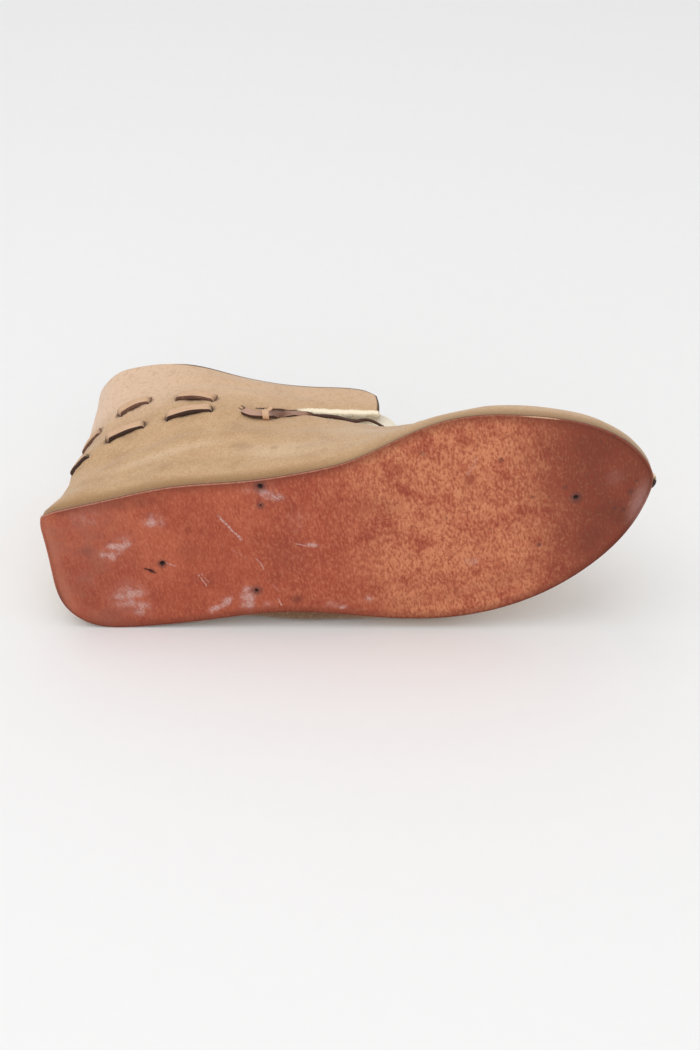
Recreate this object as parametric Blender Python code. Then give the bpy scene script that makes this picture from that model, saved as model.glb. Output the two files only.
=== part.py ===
"""A left turnshoe, lying on its lateral side: leather sole, one-piece upper
with two ankle flaps, tongue, and two woven thongs."""
import bpy
import math
import numpy as np

MM = 0.001

# Shoe sizes in millimetres. In the shoe's own frame x runs from heel to toe,
# y to the lateral side and z up from the tread.
SOLE_LENGTH = 280.0
SOLE_THICK = 4.0
SOLE_EDGE_ROUND = 0.6
SOLE_EDGE_SHOW = 1.3
SOLE_SKIVE = 2.4
TOE_SPRING = 5.0
TOE_SPRING_FROM = 222.0
WALL = 2.2
SEAM_GAP = 0.35
FEATHER_INSET = 0.2
WALL_INSET = 0.65
COLUMN_STEP = 6.5
TONGUE_THICK = 1.8
THONG_WIDTH = 4.6
THONG_THICK = 1.2
THONG_STAND = 0.85
THONG_RISE = 0.4
THONG_SINK = 1.3
THONG_LEAN = 2.6
SLIT_LONG = 6.6
SLIT_WIDE = 5.2
CORD_RADIUS = 0.95

# How the shoe lies: turned about its long axis onto the lateral side, then
# turned on the floor so that its length runs along +X.
LIE_ROLL = -91.219
LIE_PITCH = -8.964
LIE_YAW = 0.0
REST_X = -138.012
REST_Y = -60.695
REST_Z = 36.534

# Sections of upper and sole, once round from the heel by the medial side.
# edge x, y: sole outline; wall out, z and shoulder in, z: the upper's wall over
# that edge; top x, y, z: girdle round the ankle, or edge of the throat.
SECTIONS = (
    # edge x, edge y, wall out, wall z, shoulder in, shoulder z, top x, top y, top z
    (0.8, 4.0, -0.4, 18, 2.6, 45, 5.0, 4.0, 74.0),
    (1.9, -15.5, -1.4, 16, 4.2, 45, 7.4, -10.5, 74.0),
    (3.9, -24.7, -3.0, 16, 7.4, 45, 14.0, -19.3, 74.0),
    (12.5, -27.5, -1.2, 17, 2.8, 45, 23.3, -25.8, 73.6),
    (32.0, -29.3, 0.5, 18, 0.3, 45, 38.0, -30.0, 73.0),
    (65.0, -32.0, 1.0, 18, -1.0, 45, 66.0, -33.4, 72.0),
    (100.0, -29.9, 1.0, 18, 0.0, 42, 100.0, -27.5, 70.0),
    (125.0, -30.3, 1.0, 16, 2.0, 38, 120.0, -21.3, 66.6),
    (148.0, -33.0, 0.5, 15, 5.0, 35, 138.0, -15.8, 66.8),
    (170.0, -40.4, -0.5, 12, 9.0, 30, 151.0, -12.0, 67.2),
    (198.0, -47.2, -1.2, 10, 10.5, 26, 160.5, -8.6, 67.8),
    (225.0, -44.6, -1.0, 11, 9.4, 25, 164.8, -5.7, 68.1),
    (248.0, -37.5, -1.0, 12, 8.9, 25, 167.0, -3.2, 68.2),
    (266.0, -26.3, -0.8, 13, 8.7, 25, 168.1, -1.2, 68.3),
    (276.5, -12.8, -0.5, 14, 8.8, 25, 168.4, 0.5, 68.3),
    (280.0, -1.0, -0.4, 14, 8.8, 25, 168.5, 2.0, 68.3),
    (276.5, 9.5, -0.4, 14, 8.8, 25, 168.3, 3.5, 68.3),
    (264.0, 26.5, -0.5, 14, 8.5, 26, 167.6, 5.4, 68.3),
    (244.0, 41.5, -0.6, 13, 9.0, 26, 166.0, 8.0, 68.2),
    (218.0, 53.2, 0.0, 12, 9.5, 27, 162.5, 11.4, 68.0),
    (185.0, 58.5, 3.9, 10, 8.8, 30, 155.5, 15.4, 67.5),
    (155.0, 55.4, 6.2, 9.5, 5.0, 33, 142.0, 20.8, 67.0),
    (127.0, 48.5, 7.4, 9.0, 2.8, 36, 121.0, 27.0, 67.0),
    (98.0, 43.4, 6.8, 9.0, 2.4, 42, 100.0, 34.0, 70.5),
    (65.0, 42.9, 2.6, 12, 1.8, 45, 66.0, 39.2, 72.5),
    (32.0, 41.6, -0.2, 18, 3.2, 45, 32.0, 36.6, 73.5),
    (12.0, 36.8, -1.2, 18, 4.4, 45, 17.0, 30.4, 74.0),
    (2.2, 25.6, -1.0, 18, 4.0, 45, 8.0, 20.0, 74.0),
)
CUT_MEDIAL = 6
CUT_LATERAL = 23
TOE_SECTION = 15

# Ankle band above the girdle, from the medial cut round the heel to the
# lateral cut: mid x, y, z and collar edge x, y, z.
COLLAR = (
    (100.5, -26.3, 89.0, 100.5, -23.0, 105.5),
    (66.0, -32.8, 93.5, 65.0, -33.8, 114.0),
    (38.0, -30.4, 97.0, 36.5, -32.8, 119.0),
    (22.4, -26.4, 98.0, 20.6, -28.4, 121.5),
    (13.8, -19.6, 98.0, 13.4, -20.8, 122.0),
    (9.2, -10.8, 98.0, 9.8, -11.2, 121.5),
    (7.2, 4.0, 98.0, 8.8, 4.0, 121.0),
    (9.2, 20.2, 98.0, 9.2, 22.2, 121.0),
    (16.5, 31.4, 98.0, 15.0, 33.8, 121.5),
    (32.0, 37.4, 97.0, 31.5, 39.4, 120.5),
    (66.0, 40.2, 95.0, 65.0, 41.0, 117.0),
    (100.0, 33.6, 90.0, 100.0, 31.5, 108.0),
)
# Free flaps in front of the cuts, from the cut to the tip: low, mid, top x, y, z.
FLAP_MEDIAL = (
    (113.0, -22.9, 73.6, 113.0, -22.2, 87.5, 113.5, -19.8, 102.5),
    (134.0, -17.2, 75.0, 134.5, -17.0, 87.5, 135.0, -16.2, 100.5),
    (149.0, -13.8, 76.2, 149.5, -14.0, 87.0, 149.0, -13.7, 98.0),
    (155.8, -12.4, 76.8, 156.1, -12.5, 84.5, 154.8, -12.4, 93.0),
)
FLAP_LATERAL = (
    (113.0, 30.6, 73.8, 113.0, 29.8, 88.0, 113.5, 27.8, 103.5),
    (132.0, 25.2, 75.0, 132.5, 24.4, 87.0, 133.0, 23.0, 100.0),
    (146.0, 20.2, 76.0, 146.5, 20.0, 86.5, 146.0, 19.2, 97.5),
    (152.0, 18.4, 77.0, 152.3, 18.2, 84.0, 151.0, 17.8, 92.0),
)
# Tongue, from under the throat to its top: centre x, y, z, half width, drop of
# the edges below the centre, and how far the edges lie back.
TONGUE = (
    (173.5, 2.0, 62.0, 4.0, 1.0, 0.5),
    (168.0, 1.9, 65.0, 4.0, 1.4, 0.5),
    (164.0, 1.8, 78.0, 6.0, 11.0, 0.5),
    (159.5, 1.0, 89.5, 7.6, 21.0, 1.0),
    (150.0, 1.2, 97.0, 10.0, 27.0, 2.0),
    (136.0, 1.8, 104.0, 14.0, 32.0, 4.0),
    (122.0, 2.4, 109.5, 17.0, 33.0, 5.0),
    (111.0, 3.0, 114.0, 18.5, 25.0, 5.0),
)
TONGUE_ARC = 1.5
# Loose end of the upper thong along the medial gap, x, y, z.
THONG_END = (
    (94.5, -31.2, 65.0),
    (99.0, -30.9, 61.3),
    (104.0, -30.5, 60.1),
    (107.5, -29.6, 60.8),
    (110.5, -27.9, 62.8),
    (115.0, -25.4, 65.4),
    (122.0, -22.9, 66.9),
    (130.0, -20.2, 67.4),
    (138.0, -17.6, 67.9),
    (144.5, -15.7, 67.0),
    (149.5, -13.8, 69.8),
    (153.5, -12.8, 69.6),
    (157.2, -12.2, 68.4),
)
# Hitch round the loose end: its place on the way, ring and tail.
HITCH_AT = 9.5
HITCH_RING = 1.9
HITCH_RADIUS = 0.7
HITCH_TAIL = 6.0
# Thong rows round the ankle, from the medial to the lateral cut.
ROWS = (
    # share of the way round, upper row z, lower row z
    (0.00, 66.5, 65.5),
    (0.0875, 76.4, 66.4),
    (0.165, 81.0, 63.0),
    (0.24, 85.6, 62.0),
    (0.31, 81.0, 55.5),
    (0.36, 76.0, 47.5),
    (0.50, 73.0, 44.5),
    (0.64, 76.0, 47.5),
    (0.69, 81.0, 55.5),
    (0.76, 85.6, 62.0),
    (0.835, 81.0, 63.0),
    (0.9125, 76.4, 66.4),
    (1.00, 66.5, 65.5),
)
# Column of each row in that table, and its slits' ways from the nearer cut.
ROW_UPPER = (1, (23.5, 42.2, 58.5, 74.7, 87.5, 101.5))
ROW_LOWER = (2, (22.0, 43.2, 55.5, 74.2, 86.8, 99.0))


def spline(knots, points, at, closed=False):
    """Points at the given parameters on a smooth cubic through points."""
    t = np.asarray(knots, float)
    p = np.asarray(points, float)
    if closed:
        reach = 4
        turn = t[-1]
        base = t[:-1]
        t = np.concatenate([base[-reach:] - turn, base, base[:reach] + turn])
        p = np.concatenate([p[-reach:], p, p[:reach]])
    h = np.diff(t)
    slope = np.diff(p, axis=0) / h[:, None]
    n = len(t)
    lhs = np.zeros((n, n))
    rhs = np.zeros_like(p)
    lhs[0, 0], lhs[0, 1], rhs[0] = 2, 1, 3 * slope[0]
    lhs[-1, -1], lhs[-1, -2], rhs[-1] = 2, 1, 3 * slope[-1]
    for i in range(1, n - 1):
        lhs[i, i - 1] = h[i]
        lhs[i, i] = 2 * (h[i - 1] + h[i])
        lhs[i, i + 1] = h[i - 1]
        rhs[i] = 3 * (h[i] * slope[i - 1] + h[i - 1] * slope[i])
    m = np.linalg.solve(lhs, rhs)
    at = np.asarray(at, float)
    k = np.clip(np.searchsorted(t, at, side="right") - 1, 0, n - 2)
    u = ((at - t[k]) / h[k])[:, None]
    w = h[k][:, None]
    return ((2 * u**3 - 3 * u**2 + 1) * p[k] + (u**3 - 2 * u**2 + u) * w * m[k]
            + (3 * u**2 - 2 * u**3) * p[k + 1] + (u**3 - u**2) * w * m[k + 1])


def lengths(points):
    """Running length along a chain of points, from 0."""
    step = np.linalg.norm(np.diff(points, axis=0), axis=1)
    return np.concatenate([[0.0], np.cumsum(step)])


def spring(x):
    """Height of the tread over the floor: flat, then rising to the toe."""
    reach = np.clip((np.asarray(x, float) - TOE_SPRING_FROM) / (SOLE_LENGTH - TOE_SPRING_FROM), 0, 1)
    return TOE_SPRING * reach**2


def skive_height(inset):
    """Height of the sole's skived edge over the tread, at a way in from the outline."""
    return SOLE_EDGE_SHOW + (SOLE_THICK - SOLE_EDGE_SHOW) * min(inset / SOLE_SKIVE, 1.0)


def section_knots():
    """Parameter of each section round the shoe, closed by the last value."""
    rows = np.array(SECTIONS)
    edge = np.vstack([rows[:, :2], rows[:1, :2]])
    return lengths(edge)


def column_parameters(step):
    """Parameters of the columns round the shoe and the columns of the cuts."""
    knots = section_knots()
    found = []
    cuts = {}
    for i in range(len(SECTIONS)):
        if i in (CUT_MEDIAL, CUT_LATERAL):
            cuts[i] = len(found)
        count = max(2, round((knots[i + 1] - knots[i]) / step))
        found.extend(np.linspace(knots[i], knots[i + 1], count, endpoint=False))
    return np.array(found), cuts[CUT_MEDIAL], cuts[CUT_LATERAL]


def outline(at):
    """Sole outline and its outward direction at parameters round the shoe."""
    rows = np.array(SECTIONS)
    knots = section_knots()
    edge = spline(knots, rows[:, :2], at, True)
    turn = knots[-1]
    ahead = spline(knots, rows[:, :2], (at + 0.5) % turn, True)
    behind = spline(knots, rows[:, :2], (at - 0.5) % turn, True)
    along = ahead - behind
    along /= np.linalg.norm(along, axis=1)[:, None]
    # Going round by the medial side, outward lies to the right of the way.
    return edge, np.stack([along[:, 1], -along[:, 0]], axis=1)


def wall_levels(at):
    """Feather, wall, shoulder and top points at parameters round the shoe."""
    rows = np.array(SECTIONS)
    knots = section_knots()
    edge, out = outline(at)
    rest = spline(knots, rows[:, 2:], at, True)
    lift = spring(edge[:, 0])
    levels = np.zeros((4, len(at), 3))
    levels[0, :, :2] = edge - out * FEATHER_INSET
    levels[0, :, 2] = lift + skive_height(FEATHER_INSET) + SEAM_GAP
    levels[1, :, :2] = edge + out * (rest[:, 0:1] - WALL_INSET)
    levels[1, :, 2] = rest[:, 1]
    levels[2, :, :2] = edge - out * rest[:, 2:3]
    levels[2, :, 2] = rest[:, 3]
    levels[3] = rest[:, 4:7]
    return levels


def up(levels, share):
    """A column's points at shares of its length through its level points."""
    way = lengths(levels)
    return spline(way, levels, np.asarray(share) * way[-1])


class Upper:
    """The upper's outer face: body ring, ankle band and two flaps."""

    def __init__(self, step, low_rows, band_rows):
        self.at, self.cut_m, self.cut_l = column_parameters(step)
        self.low_rows = low_rows
        self.band_rows = band_rows
        count = len(self.at)
        levels = wall_levels(self.at)
        knots = section_knots()
        turn = knots[-1]
        # Columns of the band run from the medial cut back round the heel.
        self.band = [c % count for c in range(self.cut_m, self.cut_l - count - 1, -1)]
        band_at = [knots[CUT_MEDIAL] - knots[i] for i in range(CUT_MEDIAL, -1, -1)]
        band_at += [knots[CUT_MEDIAL] + turn - knots[i] for i in range(len(SECTIONS) - 1, CUT_LATERAL - 1, -1)]
        collar = np.array(COLLAR)
        fm = np.array(FLAP_MEDIAL)
        fl = np.array(FLAP_LATERAL)
        reach_m = [lengths(np.vstack([collar[0, 3:], fm[:, 6:]]))[1:]]
        reach_l = [lengths(np.vstack([collar[-1, 3:], fl[:, 6:]]))[1:]]
        way = np.concatenate([-reach_m[0][::-1], band_at, band_at[-1] + reach_l[0]])
        mid = np.vstack([fm[::-1, 3:6], collar[:, :3], fl[:, 3:6]])
        top = np.vstack([fm[::-1, 6:], collar[:, 3:], fl[:, 6:]])
        here = np.array([(knots[CUT_MEDIAL] - self.at[c]) % turn for c in self.band])
        self.band_share = here / here[-1]
        self.columns = {}
        band_mid = spline(way, mid, here)
        band_top = spline(way, top, here)
        for c in range(count):
            self.columns[c] = levels[:, c]
        for k, c in enumerate(self.band):
            self.columns[c] = np.vstack([levels[:, c], band_mid[k], band_top[k]])
        self.flaps = []
        for reach, rows, sign, first in ((reach_m[0], fm, -1, self.cut_m), (reach_l[0], fl, 1, self.cut_l)):
            base = 0.0 if sign < 0 else band_at[-1]
            places = max(4, round(reach[-1] / step))
            steps = np.linspace(0, reach[-1], places + 1)[1:]
            low_knots = np.concatenate([[0.0], reach])
            low = spline(low_knots, np.vstack([levels[3, first], rows[:, :3]]), steps)
            f_mid = spline(way, mid, base + sign * steps)
            f_top = spline(way, top, base + sign * steps)
            self.flaps.append([np.stack([a, b, d]) for a, b, d in zip(low, f_mid, f_top)])

    def split(self, column):
        """Share of a band column's length at which it crosses the girdle."""
        way = lengths(self.columns[column])
        return way[3] / way[-1]

    def mesh(self):
        """Vertices and faces of the outer face, normals outward."""
        verts = []
        faces = []
        count = len(self.at)
        grid = np.zeros((count, self.low_rows + 1), int)
        banded = set(self.band)
        low = np.linspace(0, 1, self.low_rows + 1)**1.5
        for c in range(count):
            share = low * (self.split(c) if c in banded else 1.0)
            for r, p in enumerate(up(self.columns[c], share)):
                grid[c, r] = len(verts)
                verts.append(p)
        for c in range(count):
            d = (c + 1) % count
            for r in range(self.low_rows):
                faces.append((grid[c, r], grid[d, r], grid[d, r + 1], grid[c, r + 1]))
        high = np.linspace(0, 1, self.band_rows + 1)
        strips = []
        for c in self.band:
            girdle = self.split(c)
            share = girdle + high[1:] * (1 - girdle)
            ids = [grid[c, self.low_rows]]
            for p in up(self.columns[c], share):
                ids.append(len(verts))
                verts.append(p)
            strips.append(ids)
        wings = []
        for flap in self.flaps:
            wing = []
            for levels in flap:
                ids = []
                for p in up(levels, high):
                    ids.append(len(verts))
                    verts.append(p)
                wing.append(ids)
            wings.append(wing)
        chain = wings[0][::-1] + strips + wings[1]
        for a, b in zip(chain[:-1], chain[1:]):
            for r in range(self.band_rows):
                faces.append((a[r], a[r + 1], b[r + 1], b[r]))
        return np.array(verts), faces

    def at_height(self, index, z):
        """Point of a column of the band at a height over the tread."""
        levels = self.columns[self.band[min(max(index, 0), len(self.band) - 1)]]
        share = np.linspace(0, 1, 81)
        return up(levels, [np.interp(z, up(levels, share)[:, 2], share)])[0]

    def on_band(self, where, z):
        """Point, outward normal, way along and way up on the band at a height."""
        k = np.clip(where, 0, len(self.band) - 1.001)
        i = int(k)
        f = k - i
        here = [self.at_height(i + n, z) for n in (-1, 0, 1, 2)]
        p = here[1] * (1 - f) + here[2] * f
        along = (here[2] - here[0]) * (1 - f) + (here[3] - here[1]) * f
        along /= np.linalg.norm(along)
        rise = self.at_height(i, z + 2.0) * (1 - f) + self.at_height(i + 1, z + 2.0) * f - p
        rise -= along * (rise @ along)
        rise /= np.linalg.norm(rise)
        return p, np.cross(rise, along), along, rise


def material(name, colour, roughness):
    found = bpy.data.materials.new(name)
    found.use_nodes = True
    shader = found.node_tree.nodes["Principled BSDF"]
    shader.inputs["Base Color"].default_value = (*colour, 1.0)
    shader.inputs["Roughness"].default_value = roughness
    shader.inputs["Metallic"].default_value = 0.0
    return found


def add_mesh(name, verts, faces, look, root):
    """A named mesh object in metres, hung on the shoe's empty."""
    mesh = bpy.data.meshes.new(name)
    mesh.from_pydata([tuple(float(v) * MM for v in p) for p in verts], [], [tuple(int(i) for i in f) for f in faces])
    mesh.update()
    made = bpy.data.objects.new(name, mesh)
    bpy.context.scene.collection.objects.link(made)
    made.parent = root
    if look:
        mesh.materials.append(look)
    return made


def add_cord(name, points, radius, look, root):
    """A round cord along points, with closed ends."""
    curve = bpy.data.curves.new(name, "CURVE")
    curve.dimensions = "3D"
    line = curve.splines.new("POLY")
    line.points.add(len(points) - 1)
    for place, p in zip(line.points, points):
        place.co = (p[0] * MM, p[1] * MM, p[2] * MM, 1.0)
    curve.bevel_depth = radius * MM
    curve.bevel_resolution = 2
    curve.use_fill_caps = True
    made = bpy.data.objects.new(name, curve)
    bpy.context.scene.collection.objects.link(made)
    made.parent = root
    curve.materials.append(look)
    return made


def hitch_points(way, line):
    """One turn of thong round the loose end, then a short tail upward."""
    here, ahead = spline(way, line, [HITCH_AT, HITCH_AT + 1.0])
    along = (ahead - here) / np.linalg.norm(ahead - here)
    rise = np.array([0.0, 0.0, 1.0]) - along * along[2]
    rise /= np.linalg.norm(rise)
    out = np.cross(rise, along)
    out *= -np.sign(out[1])
    points = []
    for k in range(19):
        turn = math.radians(200 + 18 * k)
        slide = along * (k / 18 - 0.5) * 3.4
        points.append(here + slide + HITCH_RING * (rise * math.cos(turn) + out * math.sin(turn)))
    tail = points[-1] - points[-2]
    tail /= np.linalg.norm(tail)
    for k in range(1, 5):
        points.append(points[18] + (tail * 0.6 + rise * 0.5 + along * 0.4) * HITCH_TAIL * k / 4)
    return np.array(points)


def sole_mesh(step):
    """Sole as a ladder of cross rows between medial and lateral edge."""
    at, _, _ = column_parameters(step)
    knots = section_knots()
    toe = knots[TOE_SECTION]
    turn = knots[-1]
    pairs = 34
    medial = np.linspace(0, toe, pairs + 1)
    lateral = turn - np.linspace(0, turn - toe, pairs + 1)
    across = 8
    verts = []
    faces = []

    def ring(at, inset, z):
        edge, out = outline(at % turn)
        flat = edge - out * inset
        return np.column_stack([flat, spring(edge[:, 0]) + z])

    loop = np.concatenate([medial[:-1], lateral[::-1][:-1]])
    heights = ((SOLE_EDGE_ROUND, 0.0), (0.0, SOLE_EDGE_ROUND),
               (0.0, SOLE_EDGE_SHOW), (SOLE_SKIVE, SOLE_THICK))
    rings = []
    for inset, z in heights:
        ids = []
        for p in ring(loop, inset, z):
            ids.append(len(verts))
            verts.append(p)
        rings.append(ids)
    n = len(loop)
    for low, high in zip(rings[:-1], rings[1:]):
        for i in range(n):
            j = (i + 1) % n
            faces.append((low[i], low[j], high[j], high[i]))
    for ids, z, under in ((rings[0], 0.0, True), (rings[-1], SOLE_THICK, False)):
        rows = []
        for i in range(1, pairs):
            a = ids[i]
            b = ids[n - i]
            row = [a]
            for j in range(1, across):
                f = j / across
                p = verts[a] * (1 - f) + verts[b] * f
                p = np.array([p[0], p[1], spring(p[0]) + z])
                row.append(len(verts))
                verts.append(p)
            row.append(b)
            rows.append(row)
        made = []
        for r, s in zip(rows[:-1], rows[1:]):
            for j in range(across):
                made.append((r[j], s[j], s[j + 1], r[j + 1]))
        for j in range(across):
            made.append((ids[0], rows[0][j], rows[0][j + 1]))
            made.append((ids[pairs], rows[-1][j + 1], rows[-1][j]))
        faces.extend(made if under is False else [f[::-1] for f in made])
    return verts, faces


def wall_solid(verts, faces):
    """Closed wall: the outer face, the same face set in, and rims between."""
    normal = np.zeros_like(verts)
    for a, b, c, d in faces:
        turn = np.cross(verts[c] - verts[a], verts[d] - verts[b])
        normal[[a, b, c, d]] += turn
    normal /= np.linalg.norm(normal, axis=1)[:, None]
    inner = verts - normal * WALL
    low = skive_height(FEATHER_INSET) + SEAM_GAP
    feather = verts[:, 2] < spring(verts[:, 0]) + low + 0.4
    level = normal[feather, :2] / np.linalg.norm(normal[feather, :2], axis=1)[:, None]
    inner[feather, :2] = verts[feather, :2] - level * WALL
    inner[feather, 2] = verts[feather, 2] - low + skive_height(FEATHER_INSET + WALL) + SEAM_GAP
    shift = len(verts)
    edges = {(f[i], f[(i + 1) % 4]) for f in faces for i in range(4)}
    made = [tuple(f) for f in faces]
    made += [tuple(i + shift for i in reversed(f)) for f in faces]
    made += [(b, a, a + shift, b + shift) for a, b in sorted(edges) if (b, a) not in edges]
    return list(verts) + list(inner), made


def sheet_solid(grid, thick):
    """Closed solid from a grid of points, thickened to the underside."""
    rows, cols, _ = grid.shape
    du = np.gradient(grid, axis=0)
    dv = np.gradient(grid, axis=1)
    normal = np.cross(du, dv)
    normal /= np.linalg.norm(normal, axis=2)[:, :, None]
    under = grid - normal * thick
    verts = list(grid.reshape(-1, 3)) + list(under.reshape(-1, 3))
    shift = rows * cols
    faces = []
    for i in range(rows - 1):
        for j in range(cols - 1):
            a = i * cols + j
            faces.append((a, a + cols, a + cols + 1, a + 1))
            faces.append((a + shift, a + shift + 1, a + shift + cols + 1, a + shift + cols))
    rim = [j for j in range(cols)]
    rim += [i * cols + cols - 1 for i in range(1, rows)]
    rim += [(rows - 1) * cols + j for j in range(cols - 2, -1, -1)]
    rim += [i * cols for i in range(rows - 2, 0, -1)]
    for a, b in zip(rim, rim[1:] + rim[:1]):
        faces.append((a, b, b + shift, a + shift))
    return verts, faces


def tongue_grid(long_rows, cross_rows):
    rows = np.array(TONGUE)
    way = lengths(rows[:, :3])
    lines = spline(way, rows, np.linspace(0, way[-1], long_rows))
    grid = np.zeros((long_rows, cross_rows, 3))
    side = np.linspace(-1, 1, cross_rows)
    for i, (x, y, z, half, drop, back) in enumerate(lines):
        grid[i, :, 0] = x - back * side**2
        grid[i, :, 1] = y + half * np.sin(side * TONGUE_ARC) / math.sin(TONGUE_ARC)
        grid[i, :, 2] = z - drop * (1 - np.cos(side * TONGUE_ARC)) / (1 - math.cos(TONGUE_ARC))
    return grid[::-1]


def thong_path(upper, row):
    """Stations of a woven thong, its width's direction, and its slits."""
    column, ways = row
    table = np.array(ROWS)
    count = len(upper.band)

    def on_row(where):
        share = [np.interp(where, np.arange(count), upper.band_share)]
        return upper.on_band(where, spline(table[:, 0], table[:, column:column + 1], share)[0, 0])
    probe = np.linspace(0, count - 1, 2 * count)
    line = np.array([on_row(w)[0] for w in probe])
    way = lengths(line)
    slits = list(ways) + [way[-1] - w for w in reversed(ways)]
    high = THONG_STAND + THONG_THICK / 2
    deep = -(WALL + THONG_SINK + THONG_THICK / 2)
    lean = THONG_LEAN
    keys = [(slits[0] - lean - 4.0, deep)]
    for start, end, after in zip(slits[0::2], slits[1::2], slits[2::2] + [None]):
        keys += [(start - lean, deep), (start, -WALL / 2), (start + lean, high),
                 ((start + end) / 2, high + THONG_RISE),
                 (end - lean, high), (end, -WALL / 2), (end + lean, deep)]
        if after:
            keys.append(((end + after) / 2, deep - 0.3))
    keys.append((slits[-1] + lean + 4.0, deep))
    keys = np.array(keys)
    fine = np.concatenate([np.linspace(a, b, 3, endpoint=False) for a, b in zip(keys[:-1, 0], keys[1:, 0])])
    off = spline(keys[:, 0], keys[:, 1:], fine)[:, 0]

    def place(s):
        """Frame on the wall at a way along the row, its width square to the row."""
        p, out, along, rise = on_row(np.interp(s, way, probe))
        ahead = on_row(np.interp(s + 1.0, way, probe))[0] - on_row(np.interp(s - 1.0, way, probe))[0]
        ahead -= out * (ahead @ out)
        ahead /= np.linalg.norm(ahead)
        return p, out, ahead, np.cross(ahead, out)
    frames = [place(s) for s in fine]
    path = np.array([f[0] + f[1] * o for f, o in zip(frames, off)])
    rise = np.array([f[3] for f in frames])
    return path, rise, [place(s) for s in slits]


def strip_solid(path, rise):
    """Flat strap swept along a path, its width along rise."""
    along = np.gradient(path, axis=0)
    along /= np.linalg.norm(along, axis=1)[:, None]
    rise = rise - along * np.sum(rise * along, axis=1)[:, None]
    rise /= np.linalg.norm(rise, axis=1)[:, None]
    out = np.cross(rise, along)
    verts = []
    faces = []
    for p, r, o in zip(path, rise, out):
        for a, b in ((-1, 1), (1, 1), (1, -1), (-1, -1)):
            verts.append(p + r * a * THONG_WIDTH / 2 + o * b * THONG_THICK / 2)
    n = len(path)
    for i in range(n - 1):
        for k in range(4):
            a = 4 * i + k
            b = 4 * i + (k + 1) % 4
            faces.append((a, b, b + 4, a + 4))
    faces.append((3, 2, 1, 0))
    e = 4 * (n - 1)
    faces.append((e, e + 1, e + 2, e + 3))
    return verts, faces


def slit_boxes(cuts):
    """One box through the wall at each slit."""
    verts = []
    faces = []
    for p, out, along, rise in cuts:
        base = len(verts)
        mid = p - out * WALL / 2
        for a in (-1, 1):
            for b in (-1, 1):
                for c in (-1, 1):
                    verts.append(mid + along * a * SLIT_WIDE / 2 + rise * b * SLIT_LONG / 2 + out * c * WALL * 1.6)
        for f in ((0, 1, 3, 2), (4, 6, 7, 5), (0, 4, 5, 1), (2, 3, 7, 6), (0, 2, 6, 4), (1, 5, 7, 3)):
            faces.append(tuple(base + i for i in reversed(f)))
    return verts, faces


for old in list(bpy.data.objects):
    bpy.data.objects.remove(old, do_unlink=True)

root = bpy.data.objects.new("turnshoe", None)
bpy.context.scene.collection.objects.link(root)
root.rotation_mode = "XYZ"
root.rotation_euler = tuple(math.radians(a) for a in (LIE_ROLL, LIE_PITCH, LIE_YAW))
root.location = (REST_X * MM, REST_Y * MM, REST_Z * MM)

sole_look = material("veg_tan_sole", (0.36, 0.085, 0.042), 0.5)
upper_look = material("tan_nubuck", (0.47, 0.28, 0.15), 0.85)
tongue_look = material("raw_flesh_side", (0.80, 0.68, 0.46), 0.95)
thong_look = material("thong_leather", (0.36, 0.19, 0.09), 0.7)

add_mesh("sole", *sole_mesh(COLUMN_STEP), sole_look, root)

body = Upper(COLUMN_STEP, 8, 5)
upper = add_mesh("upper", *wall_solid(*body.mesh()), upper_look, root)
slits = []
for name, row in (("thong_upper", ROW_UPPER), ("thong_lower", ROW_LOWER)):
    path, rise, cuts = thong_path(body, row)
    add_mesh(name, *strip_solid(path, rise), thong_look, root)
    slits += cuts
cutter = add_mesh("slit_cutter", *slit_boxes(slits), None, root)
cutter.hide_render = True
cutter.display_type = "WIRE"
cut = upper.modifiers.new("slits", "BOOLEAN")
cut.operation = "DIFFERENCE"
cut.solver = "EXACT"
cut.object = cutter

add_mesh("tongue", *sheet_solid(tongue_grid(16, 11), TONGUE_THICK), tongue_look, root)

end_line = np.array(THONG_END)
end_way = lengths(end_line)
end_points = spline(end_way, end_line, np.linspace(0, end_way[-1], 34))
add_cord("thong_end", end_points, CORD_RADIUS, thong_look, root)
add_cord("hitch", hitch_points(end_way, end_line), HITCH_RADIUS, thong_look, root)
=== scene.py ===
"""The looks of a left turnshoe lying on its lateral side, sole to the camera."""
import bpy
import math
import numpy as np
from mathutils import Matrix, Vector
from mathutils.kdtree import KDTree


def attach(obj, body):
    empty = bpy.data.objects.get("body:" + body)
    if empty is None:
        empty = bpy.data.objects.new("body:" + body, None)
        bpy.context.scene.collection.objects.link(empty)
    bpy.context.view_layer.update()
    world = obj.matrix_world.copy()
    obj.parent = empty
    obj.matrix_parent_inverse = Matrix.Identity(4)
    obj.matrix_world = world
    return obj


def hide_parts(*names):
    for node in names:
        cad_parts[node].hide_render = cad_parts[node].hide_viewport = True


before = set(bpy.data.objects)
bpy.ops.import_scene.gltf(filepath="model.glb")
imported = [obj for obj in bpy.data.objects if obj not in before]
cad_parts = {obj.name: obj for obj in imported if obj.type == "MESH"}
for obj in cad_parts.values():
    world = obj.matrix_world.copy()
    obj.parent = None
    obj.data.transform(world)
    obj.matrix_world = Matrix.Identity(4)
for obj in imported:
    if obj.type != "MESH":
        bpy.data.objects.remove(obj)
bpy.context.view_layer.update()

# The sole: one piece of vegetable-tanned leather, about 4 mm, worn side out; its edge is skived in,
# so that the turned upper hangs over it. Sizes are in the shoe's own millimetres: x from heel to toe,
# y to the lateral side, z up from the tread. LIE and REST take them to where the shoe lies.
MM = 0.001
LIE_ROLL = math.radians(-91.219)
LIE_PITCH = math.radians(-8.964)
REST = np.array([-138.012, -60.695, 36.534])
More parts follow.
